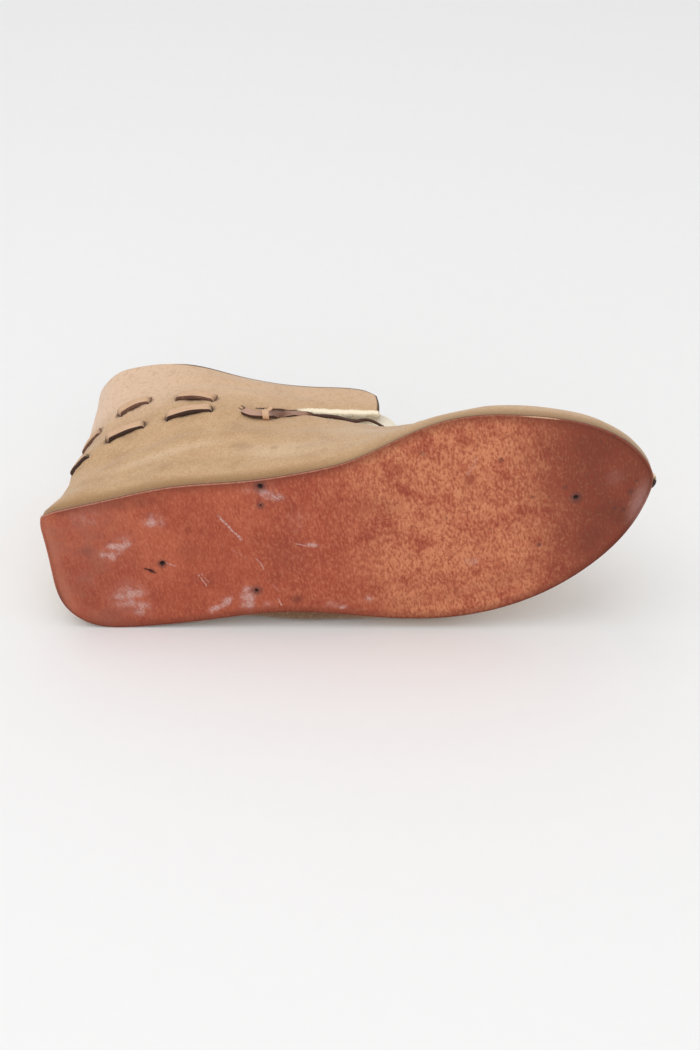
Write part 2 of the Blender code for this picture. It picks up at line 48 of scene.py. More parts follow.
LIE = (np.array([[math.cos(LIE_PITCH), 0, math.sin(LIE_PITCH)], [0, 1, 0],
                 [-math.sin(LIE_PITCH), 0, math.cos(LIE_PITCH)]])
       @ np.array([[1, 0, 0], [0, math.cos(LIE_ROLL), -math.sin(LIE_ROLL)],
                   [0, math.sin(LIE_ROLL), math.cos(LIE_ROLL)]]))
SOLE_LENGTH = 280.0
SOLE_THICK = 4.0
SOLE_EDGE_SHOW = 1.3
SOLE_SKIVE = 2.4
TOE_SPRING = 5.0
TOE_SPRING_FROM = 222.0
TOE_SECTION = 15
SECTIONS = (
    # edge x, edge y, wall out, wall z, shoulder in, shoulder z, top x, top y, top z
    (0.8, 4.0, -0.4, 18, 2.6, 45, 5.0, 4.0, 74.0),
    (1.9, -15.5, -1.4, 16, 4.2, 45, 7.4, -10.5, 74.0),
    (3.9, -24.7, -3.0, 16, 7.4, 45, 14.0, -19.3, 74.0),
    (12.5, -27.5, -1.2, 17, 2.8, 45, 23.3, -25.8, 73.6),
    (32.0, -29.3, 0.5, 18, 0.3, 45, 38.0, -30.0, 73.0),
    (65.0, -32.0, 1.0, 18, -1.0, 45, 66.0, -33.4, 72.0),
    (100.0, -29.9, 1.0, 18, 0.0, 42, 100.0, -27.5, 70.0),
    (125.0, -30.3, 1.0, 16, 2.0, 38, 120.0, -21.3, 66.6),
    (148.0, -33.0, 0.5, 15, 5.0, 35, 138.0, -15.8, 66.8),
    (170.0, -40.4, -0.5, 12, 9.0, 30, 151.0, -12.0, 67.2),
    (198.0, -47.2, -1.2, 10, 10.5, 26, 160.5, -8.6, 67.8),
    (225.0, -44.6, -1.0, 11, 9.4, 25, 164.8, -5.7, 68.1),
    (248.0, -37.5, -1.0, 12, 8.9, 25, 167.0, -3.2, 68.2),
    (266.0, -26.3, -0.8, 13, 8.7, 25, 168.1, -1.2, 68.3),
    (276.5, -12.8, -0.5, 14, 8.8, 25, 168.4, 0.5, 68.3),
    (280.0, -1.0, -0.4, 14, 8.8, 25, 168.5, 2.0, 68.3),
    (276.5, 9.5, -0.4, 14, 8.8, 25, 168.3, 3.5, 68.3),
    (264.0, 26.5, -0.5, 14, 8.5, 26, 167.6, 5.4, 68.3),
    (244.0, 41.5, -0.6, 13, 9.0, 26, 166.0, 8.0, 68.2),
    (218.0, 53.2, 0.0, 12, 9.5, 27, 162.5, 11.4, 68.0),
    (185.0, 58.5, 3.9, 10, 8.8, 30, 155.5, 15.4, 67.5),
    (155.0, 55.4, 6.2, 9.5, 5.0, 33, 142.0, 20.8, 67.0),
    (127.0, 48.5, 7.4, 9.0, 2.8, 36, 121.0, 27.0, 67.0),
    (98.0, 43.4, 6.8, 9.0, 2.4, 42, 100.0, 34.0, 70.5),
    (65.0, 42.9, 2.6, 12, 1.8, 45, 66.0, 39.2, 72.5),
    (32.0, 41.6, -0.2, 18, 3.2, 45, 32.0, 36.6, 73.5),
    (12.0, 36.8, -1.2, 18, 4.4, 45, 17.0, 30.4, 74.0),
    (2.2, 25.6, -1.0, 18, 4.0, 45, 8.0, 20.0, 74.0),
)
TREAD_ROWS = 300
TREAD_CROSS = 110
TOP_CROSS = 24
ROWS_BUNCHED = 0.35
EDGE_PROFILE = (
    # way in from the outline, height over the tread
    (0.9, 0.0), (0.42, 0.1), (0.12, 0.34), (0.0, 0.7), (0.05, 1.3), (1.0, 2.4), (2.0, 3.55), (2.4, 4.0),
)
EDGE_WEAR = 0.7
EDGE_WEAR_WIDE = 5.0
HEEL_WEAR = 0.5
HEEL_WEAR_WIDE = 9.0
HEEL_CORNER = (2.9, -26.3)
CORNER_PULL = 0.6
CORNER_REACH = 2.6
TREAD_LIFT = 0.35
TREAD_RELIEF = ((0.16, 34.0, 3), (0.05, 8.0, 4))
NAIL_RIM = 0.12
GOUGE_DEEP = 0.4
NAILS = (
    # x, y, radius, depth, width of the iron stain
    (106.0, -26.3, 1.15, 1.6, 3.4),
    (52.9, 8.0, 1.15, 1.8, 2.4),
    (244.8, 1.8, 1.0, 1.6, 3.0),
    (93.0, 29.5, 0.9, 0.8, 3.2),
    (104.2, -16.5, 0.55, 0.3, 2.4),
)
SPECKS = (
    # x, y, radius, strength
    (225.8, -2.1, 0.8, 0.55), (233.0, -0.9, 0.6, 0.4), (261.4, 10.9, 0.6, 0.9), (265.3, 12.7, 0.8, 0.7),
    (272.5, -1.1, 0.6, 0.7), (225.5, 24.0, 1.1, 0.6), (264.7, -26.3, 0.7, 0.6), (258.8, -24.9, 0.5, 0.5),
    (214.3, -23.5, 1.2, 0.45), (180.8, -32.1, 1.2, 0.4), (269.1, 4.0, 1.6, 0.4), (240.6, -4.4, 1.4, 0.35),
    (186.0, 3.0, 0.6, 0.4), (205.0, 12.0, 0.7, 0.35), (35.0, 18.0, 0.5, 0.4), (24.0, 9.0, 0.5, 0.4),
)
SCUFFS_AND_SHEEN = (
    # x, y, half length, half width, turn in degrees, strength; the tall blot at the toe, x 272.6, is a
    # painted sheen, the rest are scuffs
    (108.6, -21.5, 5.6, 2.4, 35, 0.85), (54.0, -15.3, 5.2, 4.6, 0, 0.62),
    (34.0, -3.8, 8.4, 3.6, -28, 0.9), (29.0, 0.2, 4.6, 3.0, 10, 0.7), (33.5, 24.0, 8.0, 8.6, 60, 0.65),
    (37.0, 31.0, 5.0, 5.0, 0, 0.6), (24.2, -22.0, 9.0, 5.0, 10, 0.28), (71.2, 37.0, 3.2, 2.0, -30, 0.95),
    (77.6, 33.6, 4.4, 2.2, -40, 0.95), (88.0, 33.6, 3.6, 7.2, 12, 0.95), (123.6, 8.3, 3.2, 1.2, 20, 0.8),
    (117.5, -0.3, 1.8, 0.8, 0, 0.7), (194.1, 28.6, 4.0, 2.6, 0, 0.4), (126.6, 42.6, 5.2, 2.4, 0, 0.4),
    (143.8, 42.7, 2.0, 2.2, 0, 0.5), (131.1, 44.8, 3.0, 1.4, 0, 0.5), (96.8, 38.0, 3.0, 2.4, 0, 0.4),
    (114.0, -20.0, 2.6, 1.6, 50, 0.7), (263.1, -5.1, 4.0, 4.0, 0, 0.2),
    (272.6, 11.0, 4.2, 11.0, 22, 0.62), (119.0, -6.0, 5.0, 6.0, 0, 0.2),
    (105.0, -25.0, 9.0, 3.0, 0, 0.25),
)
STAINS = (
    # x, y, half length, half width, turn in degrees, strength
    (110.7, 37.3, 3.6, 2.8, 0, 0.6), (20.3, -3.9, 3.4, 2.8, 0, 0.5), (238.0, -6.0, 9.0, 6.0, 20, 0.45),
    (262.0, 14.0, 10.0, 6.0, 60, 0.5), (247.0, 26.0, 12.0, 6.0, -30, 0.45),
    (256.0, -22.0, 14.0, 8.0, 20, 0.35), (152.0, -8.0, 14.0, 5.0, 10, 0.3),
    (199.4, -15.5, 2.6, 3.2, 0, 0.9), (112.0, 12.0, 10.0, 12.0, 0, 0.25), (14.0, 22.0, 5.0, 9.0, 0, 0.35),
    (24.0, 34.0, 12.0, 4.0, 8, 0.3), (66.0, 4.0, 5.0, 6.0, 0, 0.2), (215.0, 38.0, 20.0, 5.0, -22, 0.3),
    (170.0, 46.0, 30.0, 4.0, -4, 0.25), (48.0, -26.0, 16.0, 3.0, 0, 0.4),
)
SCRATCHES = (
    # from x, y, to x, y, half width, strength
    (83.7, -14.3, 92.0, 0.7, 0.5, 0.9), (96.6, 11.9, 99.0, 18.5, 0.3, 0.7),
    (54.4, 7.6, 59.3, 10.7, 0.32, 0.8), (67.9, 16.6, 70.6, 23.8, 0.36, 0.7),
    (69.4, 15.9, 72.0, 22.0, 0.3, 0.5), (102.0, 35.4, 102.8, 39.9, 0.34, 0.8),
    (69.4, 38.0, 80.6, 32.1, 0.5, 0.5), (116.0, 6.5, 124.5, 9.8, 0.3, 0.7),
    (100.0, 27.0, 103.5, 31.0, 0.25, 0.5), (204.6, -27.0, 198.6, -17.6, 0.5, 0.25),
    (86.0, 5.0, 93.0, 12.0, 0.2, 0.3), (108.0, -24.0, 113.5, -17.5, 0.4, 0.5),
)
GOUGE = (
    # from x, y, to x, y, half width
    (43.4, 9.4, 47.2, 11.4, 0.5), (45.4, 10.6, 48.9, 13.0, 0.6), (46.2, 11.2, 47.6, 12.2, 0.95),
)
WORN = (
    # x, y, half length, half width, turn in degrees, strength
    (212.0, -31.0, 18.0, 9.0, -18, 0.7), (168.0, 39.0, 22.0, 9.0, -4, 0.7),
)


def spline(knots, points, at, closed=False):
    """Points at the given parameters on a smooth cubic through points."""
    t = np.asarray(knots, float)
    p = np.asarray(points, float)
    if closed:
        reach = 4
        turn = t[-1]
        base = t[:-1]
        t = np.concatenate([base[-reach:] - turn, base, base[:reach] + turn])
        p = np.concatenate([p[-reach:], p, p[:reach]])
    h = np.diff(t)
    slope = np.diff(p, axis=0) / h[:, None]
    n = len(t)
    lhs = np.zeros((n, n))
    rhs = np.zeros_like(p)
    lhs[0, 0], lhs[0, 1], rhs[0] = 2, 1, 3 * slope[0]
    lhs[-1, -1], lhs[-1, -2], rhs[-1] = 2, 1, 3 * slope[-1]
    for i in range(1, n - 1):
        lhs[i, i - 1] = h[i]
        lhs[i, i] = 2 * (h[i - 1] + h[i])
        lhs[i, i + 1] = h[i - 1]
        rhs[i] = 3 * (h[i] * slope[i - 1] + h[i - 1] * slope[i])
    m = np.linalg.solve(lhs, rhs)
    at = np.asarray(at, float)
    k = np.clip(np.searchsorted(t, at, side="right") - 1, 0, n - 2)
    u = ((at - t[k]) / h[k])[:, None]
    w = h[k][:, None]
    return ((2 * u**3 - 3 * u**2 + 1) * p[k] + (u**3 - 2 * u**2 + u) * w * m[k]
            + (3 * u**2 - 2 * u**3) * p[k + 1] + (u**3 - u**2) * w * m[k + 1])


def lengths(points):
    """Running length along a chain of points, from 0."""
    step = np.linalg.norm(np.diff(points, axis=0), axis=1)
    return np.concatenate([[0.0], np.cumsum(step)])


def unit(vectors):
    """Vectors made one long."""
    return vectors / np.linalg.norm(vectors, axis=-1, keepdims=True)


def spring(x):
    """Height of the tread over the ground: flat, then rising to the toe."""
    reach = np.clip((np.asarray(x, float) - TOE_SPRING_FROM) / (SOLE_LENGTH - TOE_SPRING_FROM), 0, 1)
    return TOE_SPRING * reach**2


def outline(at):
    """Sole outline and its outward direction at parameters round the shoe."""
    edge = spline(SECTION_WAY, SECTION_ROWS[:, :2], at, True)
    turn = SECTION_WAY[-1]
    along = unit(spline(SECTION_WAY, SECTION_ROWS[:, :2], (at + 0.5) % turn, True)
                 - spline(SECTION_WAY, SECTION_ROWS[:, :2], (at - 0.5) % turn, True))
    return edge, np.stack([along[:, 1], -along[:, 0]], axis=1)


def ellipses(flat, table):
    """Soft blots from a table of places, sizes and strengths, as one value per point."""
    most = np.zeros(len(flat))
    for x, y, long, wide, turn, strength in table:
        c, s = math.cos(math.radians(turn)), math.sin(math.radians(turn))
        dx, dy = flat[:, 0] - x, flat[:, 1] - y
        reach = ((dx * c + dy * s) / long)**2 + ((dy * c - dx * s) / wide)**2
        most = np.maximum(most, strength * np.exp(-(reach**1.5)))
    return most


def to_segment(flat, x0, y0, x1, y1):
    """Distance of points from a straight piece."""
    way = np.array([x1 - x0, y1 - y0])
    share = np.clip(((flat - (x0, y0)) @ way) / (way @ way), 0, 1)
    return np.linalg.norm(flat - np.array([x0, y0]) - share[:, None] * way, axis=1)


def ripple(points, wave, seed):
    """Smooth seeded unevenness between about -1 and 1, of the given wavelength."""
    draw = np.random.default_rng(seed)
    total = np.zeros(len(points))
    for _ in range(14):
        way = draw.normal(size=points.shape[1])
        way *= draw.uniform(0.6, 1.5) / np.linalg.norm(way)
        total += np.sin(points @ way * (2 * math.pi / wave) + draw.uniform(0, 2 * math.pi))
    return total / 5.3


def piece(name, verts, faces, look, **values):
    """A mesh object from shoe points, with their shoe place and values kept as attributes."""
    mesh = bpy.data.meshes.new(name)
    places = (np.asarray(verts) @ LIE.T + REST) * MM
    mesh.from_pydata(places.tolist(), [], [tuple(map(int, f)) for f in faces])
    mesh.polygons.foreach_set("use_smooth", [True] * len(mesh.polygons))
    keep_values(mesh, verts, **values)
    made = bpy.data.objects.new(name, mesh)
    bpy.context.scene.collection.objects.link(made)
    if look:
        mesh.materials.append(look)
    return made


def keep_values(mesh, verts, **values):
    """Point attributes of a mesh: its shoe place in millimetres and the named values."""
    place = mesh.attributes.new("shoe", "FLOAT_VECTOR", "POINT")
    place.data.foreach_set("vector", np.asarray(verts, np.float32).ravel())
    for name, value in values.items():
        kept = mesh.attributes.new(name, "FLOAT", "POINT")
        kept.data.foreach_set("value", np.asarray(value, np.float32))


SECTION_ROWS = np.array(SECTIONS)
SECTION_WAY = lengths(np.vstack([SECTION_ROWS[:, :2], SECTION_ROWS[:1, :2]]))


class Value:
    """A socket in a finish; sums and products with it add Math nodes."""

    def __init__(self, finish, socket):
        self.finish = finish
        self.socket = socket

    def maths(self, operation, *terms):
        return self.finish.node("ShaderNodeMath", {"operation": operation}, dict(enumerate(terms)))

    def __add__(self, other):
        return self.maths("ADD", self, other)

    def __sub__(self, other):
        return self.maths("SUBTRACT", self, other)

    def __rsub__(self, other):
        return self.maths("SUBTRACT", other, self)

    def __mul__(self, other):
        return self.maths("MULTIPLY", self, other)

    def __abs__(self):
        return self.maths("ABSOLUTE", self)

    __radd__ = __add__
    __rmul__ = __mul__

    def most(self, other):
        return self.maths("MAXIMUM", self, other)

    def rise(self, low, high):
        """0 below low, 1 above high, smooth between; low above high turns it round."""
        flip = low > high
        found = self.finish.node("ShaderNodeMapRange", {"interpolation_type": "SMOOTHSTEP"},
                                 {0: self, 1: min(low, high), 2: max(low, high)})
        return 1 - found if flip else found


class Finish:
    """A material: Principled, with its nodes added by name."""

    def __init__(self, name, specular=0.5, **fixed):
        self.look = bpy.data.materials.new(name)
        self.look.use_nodes = True
        self.tree = self.look.node_tree
        self.shader = self.tree.nodes["Principled BSDF"]
        self.shader.inputs["Specular IOR Level"].default_value = specular
        for socket, value in fixed.items():
            self.shader.inputs[socket.replace("_", " ").title()].default_value = value

    def put(self, socket, value):
        if isinstance(value, Value):
            self.tree.links.new(value.socket, socket)
        else:
            socket.default_value = (*value, 1.0) if socket.type == "RGBA" and len(value) == 3 else value

    def node(self, kind, settings=None, sockets=None, out=0):
        """Any node: its settings, then its sockets' values or links; gives one output."""
        made = self.tree.nodes.new(kind)
        for name, value in (settings or {}).items():
            setattr(made, name, value)
        for name, value in (sockets or {}).items():
            self.put(made.inputs[name], value)
        return Value(self, made.outputs[out])

    def attribute(self, name, out="Fac"):
        return self.node("ShaderNodeAttribute", {"attribute_name": name}, out=out)

    def noise(self, vector, wave, detail=2.0, rough=0.5, distort=0.0, out=0):
        return self.node("ShaderNodeTexNoise", None, {"Vector": vector, "Scale": 1 / wave, "Detail": detail,
                                                      "Roughness": rough, "Distortion": distort}, out)

    def parts(self, vector):
        """The x, y and z of a vector."""
        split = self.node("ShaderNodeSeparateXYZ", None, {0: vector}).socket.node
        return [Value(self, part) for part in split.outputs]

    def stretch(self, vector, x, y, z):
        return self.node("ShaderNodeVectorMath", {"operation": "MULTIPLY"}, {0: vector, 1: (x, y, z)})

    def shift(self, vector, by, amount):
        """A vector moved by a coloured noise, so that a pattern on it wanders."""
        return self.node("ShaderNodeVectorMath", {"operation": "MULTIPLY_ADD"},
                         {0: by, 1: (amount,) * 3, 2: vector})

    def apart(self, vector, x, y):
        """Distance from a place on the tread."""
        return self.node("ShaderNodeVectorMath", {"operation": "DISTANCE"}, {0: vector, 1: (x, y, 0)}, out=1)

    def mix(self, colour, *layers):
        """A colour with others laid over it in turn, each by its share."""
        for tone, share in layers:
            colour = self.node("ShaderNodeMix", {"data_type": "RGBA"}, {0: share, 6: colour, 7: tone}, out=2)
        return colour

    def done(self, colour, roughness, *bumps):
        """The material with its colour, roughness and bumps: height, distance in metres, strength."""
        self.put(self.shader.inputs["Base Color"], colour)
        self.put(self.shader.inputs["Roughness"], roughness)
        under = {}
        for height, deep, strength in bumps:
            under = {"Normal": self.node("ShaderNodeBump", None, {"Height": height, "Distance": deep,
                                                                  "Strength": strength, **under})}
        self.put(self.shader.inputs["Normal"], under["Normal"])
        return self.look


def tint(r, g, b):
    """A colour as seen on a screen, 0 to 255, made linear."""
    return tuple(c / 12.92 if c <= 0.04045 else ((c + 0.055) / 1.055)**2.4
                 for c in (r / 255, g / 255, b / 255))


def sole_mesh():
    """Sole as cross rows between medial and lateral edge, worn and pitted."""
    toe = SECTION_WAY[TOE_SECTION]
    turn = SECTION_WAY[-1]
    bunched = (1 - np.cos(np.linspace(0, math.pi, TREAD_ROWS + 1))) / 2
    share = ROWS_BUNCHED * bunched + (1 - ROWS_BUNCHED) * np.linspace(0, 1, TREAD_ROWS + 1)
    medial = share * toe
    lateral = turn - share * (turn - toe)
    loop = np.concatenate([medial[:-1], lateral[::-1][:-1]])
    edge, out = outline(loop % turn)
    to_corner = np.array(HEEL_CORNER) - edge
    pull = CORNER_PULL * np.exp(-(np.linalg.norm(to_corner, axis=1) / CORNER_REACH)**2)
    edge = edge + to_corner * pull[:, None]
    n = len(loop)
    verts, faces, rings = [], [], []
    for inset, z in EDGE_PROFILE:
        rings.append(np.arange(n) + len(verts))
        verts.extend(np.column_stack([edge - out * inset, spring(edge[:, 0]) + z]))
    for low, high in zip(rings[:-1], rings[1:]):
        faces.extend(zip(low, np.roll(low, -1), np.roll(high, -1), high))
    for ids, z, cross, under in ((rings[0], 0.0, TREAD_CROSS, True),
                                 (rings[-1], SOLE_THICK, TOP_CROSS, False)):
        rows = []
        for i in range(1, TREAD_ROWS):
            a, b = ids[i], ids[n - i]
            f = np.linspace(0, 1, cross + 1)[1:-1, None]
            line = verts[a] * (1 - f) + verts[b] * f
            line[:, 2] = spring(line[:, 0]) + z
            rows.append([a, *range(len(verts), len(verts) + cross - 1), b])
            verts.extend(line)
        made = [(r[j], s[j], s[j + 1], r[j + 1]) for r, s in zip(rows[:-1], rows[1:])
                for j in range(cross)]
        made += [(ids[0], rows[0][j], rows[0][j + 1]) for j in range(cross)]
        made += [(ids[TREAD_ROWS], rows[-1][j + 1], rows[-1][j]) for j in range(cross)]
        faces.extend([f[::-1] for f in made] if under else made)
    verts = np.array(verts)
    rise = verts[:, 2] - spring(verts[:, 0])
    inward = np.concatenate([np.linalg.norm(some[:, None, :2] - edge[None, ::2], axis=2).min(axis=1)
                             for some in np.array_split(verts, 24)])
    tread = verts[:, 2] < spring(verts[:, 0]) + 0.05
    flat = verts[:, :2]
    lift = EDGE_WEAR * np.clip(1 - inward / EDGE_WEAR_WIDE, 0, 1)**2
    lift += HEEL_WEAR * np.clip(1 - verts[:, 0] / HEEL_WEAR_WIDE, 0, 1)**2
    lift += TREAD_LIFT + sum(size * ripple(flat, wave, seed) for size, wave, seed in TREAD_RELIEF)
    for x, y, radius, deep, _ in NAILS:
        r = np.linalg.norm(flat - (x, y), axis=1) / radius
        lift += deep * np.exp(-r**4) - NAIL_RIM * np.exp(-((r - 1.8) / 0.6)**2)
    for *ends, wide in GOUGE:
        lift += GOUGE_DEEP * np.exp(-(to_segment(flat, *ends) / wide)**2)
    verts[tread, 2] += (lift * np.clip(inward / 1.2, 0, 1))[tread]
    # past x 240 the blot is a painted sheen on the toe, kept smooth
    scuff_and_sheen = ellipses(flat, SCUFFS_AND_SHEEN) * np.where(flat[:, 0] > 240, 0.9, 0.6 + 0.4 * ripple(flat, 6.0, 7))
    return verts, faces, {"edge": np.where(tread, inward, 0.0), "scuff_and_sheen": np.clip(scuff_and_sheen, 0, 1),
                          "rise": rise, "stain": ellipses(flat, STAINS), "worn": ellipses(flat, WORN)}


def sole_finish():
    """Worn red-brown leather: orange clouds, a grain across the shoe, chalky scuffs, a painted sheen on the
    toe, stains, nail holes, and painted shade along the lateral edge and in the groove under the upper.
    """
    red = tint(166, 80, 58)
    orange = tint(184, 97, 70)
    pale = tint(206, 132, 94)
    light = tint(218, 152, 114)
    deep = tint(140, 60, 44)
    brown = tint(116, 57, 40)
    soot_and_shade = tint(94, 46, 35)
    haze = tint(203, 165, 158)
    heel_pale = tint(184, 116, 92)
    iron = tint(82, 54, 54)
    black = tint(26, 20, 22)
    lilac = tint(150, 92, 78)
    seam = tint(200, 150, 130)
    thread = tint(226, 190, 152)
    groove_shade = tint(124, 82, 62)
    made = Finish("worn_sole_leather", specular=0.18, roughness=0.6)
    at = made.attribute("shoe", "Vector")
    x, y, _ = made.parts(at)
    flat = made.stretch(at, 1, 1, 0)
    drift = made.noise(flat, 5.0, out=1)
    clouds = made.noise(flat, 34.0, 4.0, 0.6)
    patches = made.noise(flat, 15.0, 6.0, 0.66, 0.4)
    fine = made.noise(flat, 1.1, 3.0, 0.7)
    grain = made.noise(made.shift(made.stretch(at, 1.0, 0.5, 0), drift, 0.8), 1.0, 3.0, 0.62)
    streak = made.noise(made.shift(made.stretch(at, 1.0, 0.2, 0), drift, 0.4), 0.9, 3.0, 0.6)
    ragged = made.noise(made.stretch(at, 1.0, 0.7, 0), 1.3, 6.0, 0.8)
    sway = 2.6 * (made.noise(flat, 3.4, 2.0, 0.5) - 0.5)
    jag = 1.6 * (ragged - 0.5)
    ball = x.rise(126, 166) * x.rise(258, 216)
    toe = x.rise(208, 256)
    waist = x.rise(84, 112) * x.rise(160, 128)
    coarse = 0.32 + 0.5 * ball + 0.2 * waist + 0.1 * toe
    edge = made.attribute("edge")
    scuff_and_sheen = made.attribute("scuff_and_sheen")
    chalk = (1.1 * scuff_and_sheen + 1.7 * (ragged - 0.5)).rise(0.1, 0.66) * scuff_and_sheen.rise(0.02, 0.2) * (1 - toe)
    # at the toe a painted sheen, elsewhere chalky scuffs
    dust_and_sheen = (0.28 + 0.4 * toe * grain) * scuff_and_sheen + 0.6 * chalk * (0.25 + 0.85 * fine.rise(0.38, 0.58))
    colour = made.mix(
        red,
        (orange, clouds.rise(0.38, 0.64) * (1 - 0.5 * waist)),
        (deep, patches.rise(0.48, 0.3) * 0.6),
        (pale, ball * patches.rise(0.34, 0.6) * 0.85),
        (orange, (1 - ball) * patches.rise(0.52, 0.72) * 0.5),
        (brown, toe * (0.72 + 0.25 * clouds.rise(0.35, 0.6))),
        (pale, made.attribute("worn") * (0.5 + 0.5 * patches.rise(0.3, 0.6))),
        (deep, grain.rise(0.54, 0.36) * coarse * 0.8),
        (light, grain.rise(0.5, 0.68) * coarse * (0.55 - 0.3 * toe)),
        (deep, streak.rise(0.52, 0.72) * (0.5 - 0.3 * ball)),
        (orange, streak.rise(0.46, 0.3) * (0.45 - 0.3 * toe)),
        (made.mix(soot_and_shade, (deep, ball.rise(0.0, 0.5))),
         made.attribute("stain") * patches.rise(0.3, 0.55) * (0.6 + 0.5 * grain)),
        (brown, edge.rise(6.0, 0.5) * 0.55 * (1 - x.rise(14, 6))),
        (lilac, x.rise(56, 14) * (0.12 + 0.4 * patches.rise(0.4, 0.6))),
        (heel_pale, x.rise(9, 4) * (0.25 + 0.4 * fine)),
        # painted shade: a dark outline along the lateral edge of the tread
        (soot_and_shade, edge.rise(2.0, 0.2) * y.rise(8, 20) * 0.6),
        (haze, dust_and_sheen),
        *((haze, line_mark(x + sway, y, *stroke) * strength * fine.rise(0.36, 0.56))
          for *stroke, strength in SCRATCHES),
        *((black, line_mark(x + jag, y, *stroke) * 0.8) for stroke in GOUGE),
        *((iron, made.apart(flat, *place).rise(radius * 1.5, radius * 0.4) * strength)
          for *place, radius, strength in SPECKS))
    pits = None
    for *place, radius, _, stain in NAILS:
        spot = made.apart(flat, *place) + jag
        colour = made.mix(colour, (iron, spot.rise(stain * 1.4, radius) * 0.7 * (0.5 + 0.7 * fine)))
        pit = spot.rise(radius * 1.4, radius * 0.6)
        pits = pits.most(pit) if pits else pit
    rise = made.attribute("rise")
    side = rise.rise(0.08, 0.3)
    colour = made.mix(
        colour,
        (black, pits * 0.95),
        (seam, side * (0.6 * ragged.rise(0.3, 0.6)) * (1 - 0.75 * x.rise(120, 165))),
        (thread, side * ragged.rise(0.3, 0.55) * 0.75
         * x.rise(225, 230) * x.rise(244, 238) * y.rise(-20, -25)),
        # painted shade on the upper part of the sole's edge, in the groove under the upper
        (groove_shade, rise.rise(0.6, 0.95)))
    return made.done(colour, 0.52 + 0.25 * fine + 0.2 * chalk - 0.08 * toe, (patches, 0.0006, 0.4),
                     (grain, 0.0003, 0.6), (streak, 0.0002, 0.4), (fine, 0.0001, 0.5))


def line_mark(x, y, x0, y0, x1, y1, wide):
    """1 on a straight mark, fading to its sides and ends."""
    long = math.hypot(x1 - x0, y1 - y0)
    ux, uy = (x1 - x0) / long, (y1 - y0) / long
    ahead = (x - x0) * ux + (y - y0) * uy
    aside = abs((y - y0) * ux - (x - x0) * uy)
    return (aside.rise(wide * 1.5, wide * 0.4) * ahead.rise(-wide, wide * 2)
            * ahead.rise(long + wide, long - wide * 2))


sole_verts, sole_faces, sole_values = sole_mesh()
sole = piece("worn_sole", sole_verts, sole_faces, sole_finish(), **sole_values)
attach(sole, "root")
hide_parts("sole")

# The seam's thread end: a stub of dark waxed linen, about 2 mm thick, that stands out between sole and
# upper at the toe. Held by the seam; a few pale frayed fibres show on its medial side.
TOE_STUB = ((278.4, 5.0, 5.9), (279.9, 3.2, 6.2), (280.4, 1.2, 6.5), (280.3, -0.8, 6.9), (279.5, -2.6, 7.3))
STUB_THICK = (0.6, 1.5, 1.8, 1.3, 0.6)
STUB_RINGS = 24
STUB_SIDES = 12
STUB_ROUGH = 0.12


def tube_faces(rings, n):
    """Faces of a tube of rings of n points, and of its two ends."""
    last = n * (rings - 1)
    sides = [(n * i + k, n * i + (k + 1) % n, n * (i + 1) + (k + 1) % n, n * (i + 1) + k)
             for i in range(rings - 1) for k in range(n)]
    return sides + [tuple(reversed(range(n))), tuple(last + k for k in range(n))]


def upright(path):
    """Ways along a path, to its side and upward."""
    along = unit(np.gradient(path, axis=0))
    side = unit(np.cross(along, (0.0, 0.0, 1.0)))
    return along, side, np.cross(side, along)


def thread_stub():
    """Rough cord along the stub's points, thick in its middle, and the share of the way along it."""
    line = np.array(TOE_STUB)
    way = lengths(line)
    at = np.linspace(0, way[-1], STUB_RINGS)
    path = spline(way, line, at)
    thick = spline(way, np.array(STUB_THICK)[:, None], at)[:, 0]
    _, side, rise = upright(path)
    turn = np.linspace(0, 2 * math.pi, STUB_SIDES, endpoint=False)
    ring = side[:, None] * np.cos(turn)[:, None] + rise[:, None] * np.sin(turn)[:, None]
    verts = (path[:, None] + ring * thick[:, None, None] / 2).reshape(-1, 3)
    verts += STUB_ROUGH * ripple(verts, 0.9, 31)[:, None] * ring.reshape(-1, 3)
    return verts, tube_faces(STUB_RINGS, STUB_SIDES), np.repeat(at / way[-1], STUB_SIDES)


def thread_finish():
    """Waxed linen: dark, with pale frayed fibres where the value nears 1."""
    made = Finish("waxed_thread", roughness=0.7)
    at = made.attribute("shoe", "Vector")
    ply = made.noise(made.stretch(at, 1.0, 0.4, 1.0), 0.4, 3.0, 0.7)
    colour = made.mix(tint(60, 36, 30), (tint(34, 22, 20), ply.rise(0.4, 0.65)),
                      (tint(232, 206, 168), (made.attribute("frayed") + ply - 0.5).rise(0.6, 0.74)))
    return made.done(colour, 0.55 + 0.3 * ply, (ply, 0.0003, 0.7))


stub_verts, stub_faces, stub_frayed = thread_stub()
stub = piece("thread_stub", stub_verts, stub_faces, thread_finish(), frayed=stub_frayed)
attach(stub, "root")

# The upper: one piece of tan nubuck, about 2.2 mm, sewn to the sole inside out and turned.
# Open at the collar and throat; two free flaps in front of the ankle, their lower edges
# left raw; slits round the ankle take the thongs.
WALL = 2.2
RAW_WALL = 3.0
RAW_DROP = 1.2
RAW_SHOWN = 3.4
SEAM_GAP = 0.15
FEATHER_INSET = 0.2
WALL_INSET = 0.65
SEAM_ROLL = 0.55
CUT_MEDIAL = 6
CUT_LATERAL = 23
COLUMN_STEP = 1.5
LOW_ROWS = 50
BAND_ROWS = 24
RIM_BULGE = 0.45
RIM_ROUND = (
    # share of the way from the outer to the inner face, share of the bulge
    (0.16, 0.7), (0.5, 1.0), (0.84, 0.7),
)
UNEVEN = 0.18
RAW_RAGGED = 0.35
FLAP_FROM = 75.0
FLAP_TALL = 26.0
SLIT_LONG = 7.8
SLIT_WIDE = 1.9
SLIT_REACH = (-2.4 * WALL, 1.4 * WALL)
SLIT_LIP = 0.45
SLIT_LIP_AT = 4.6
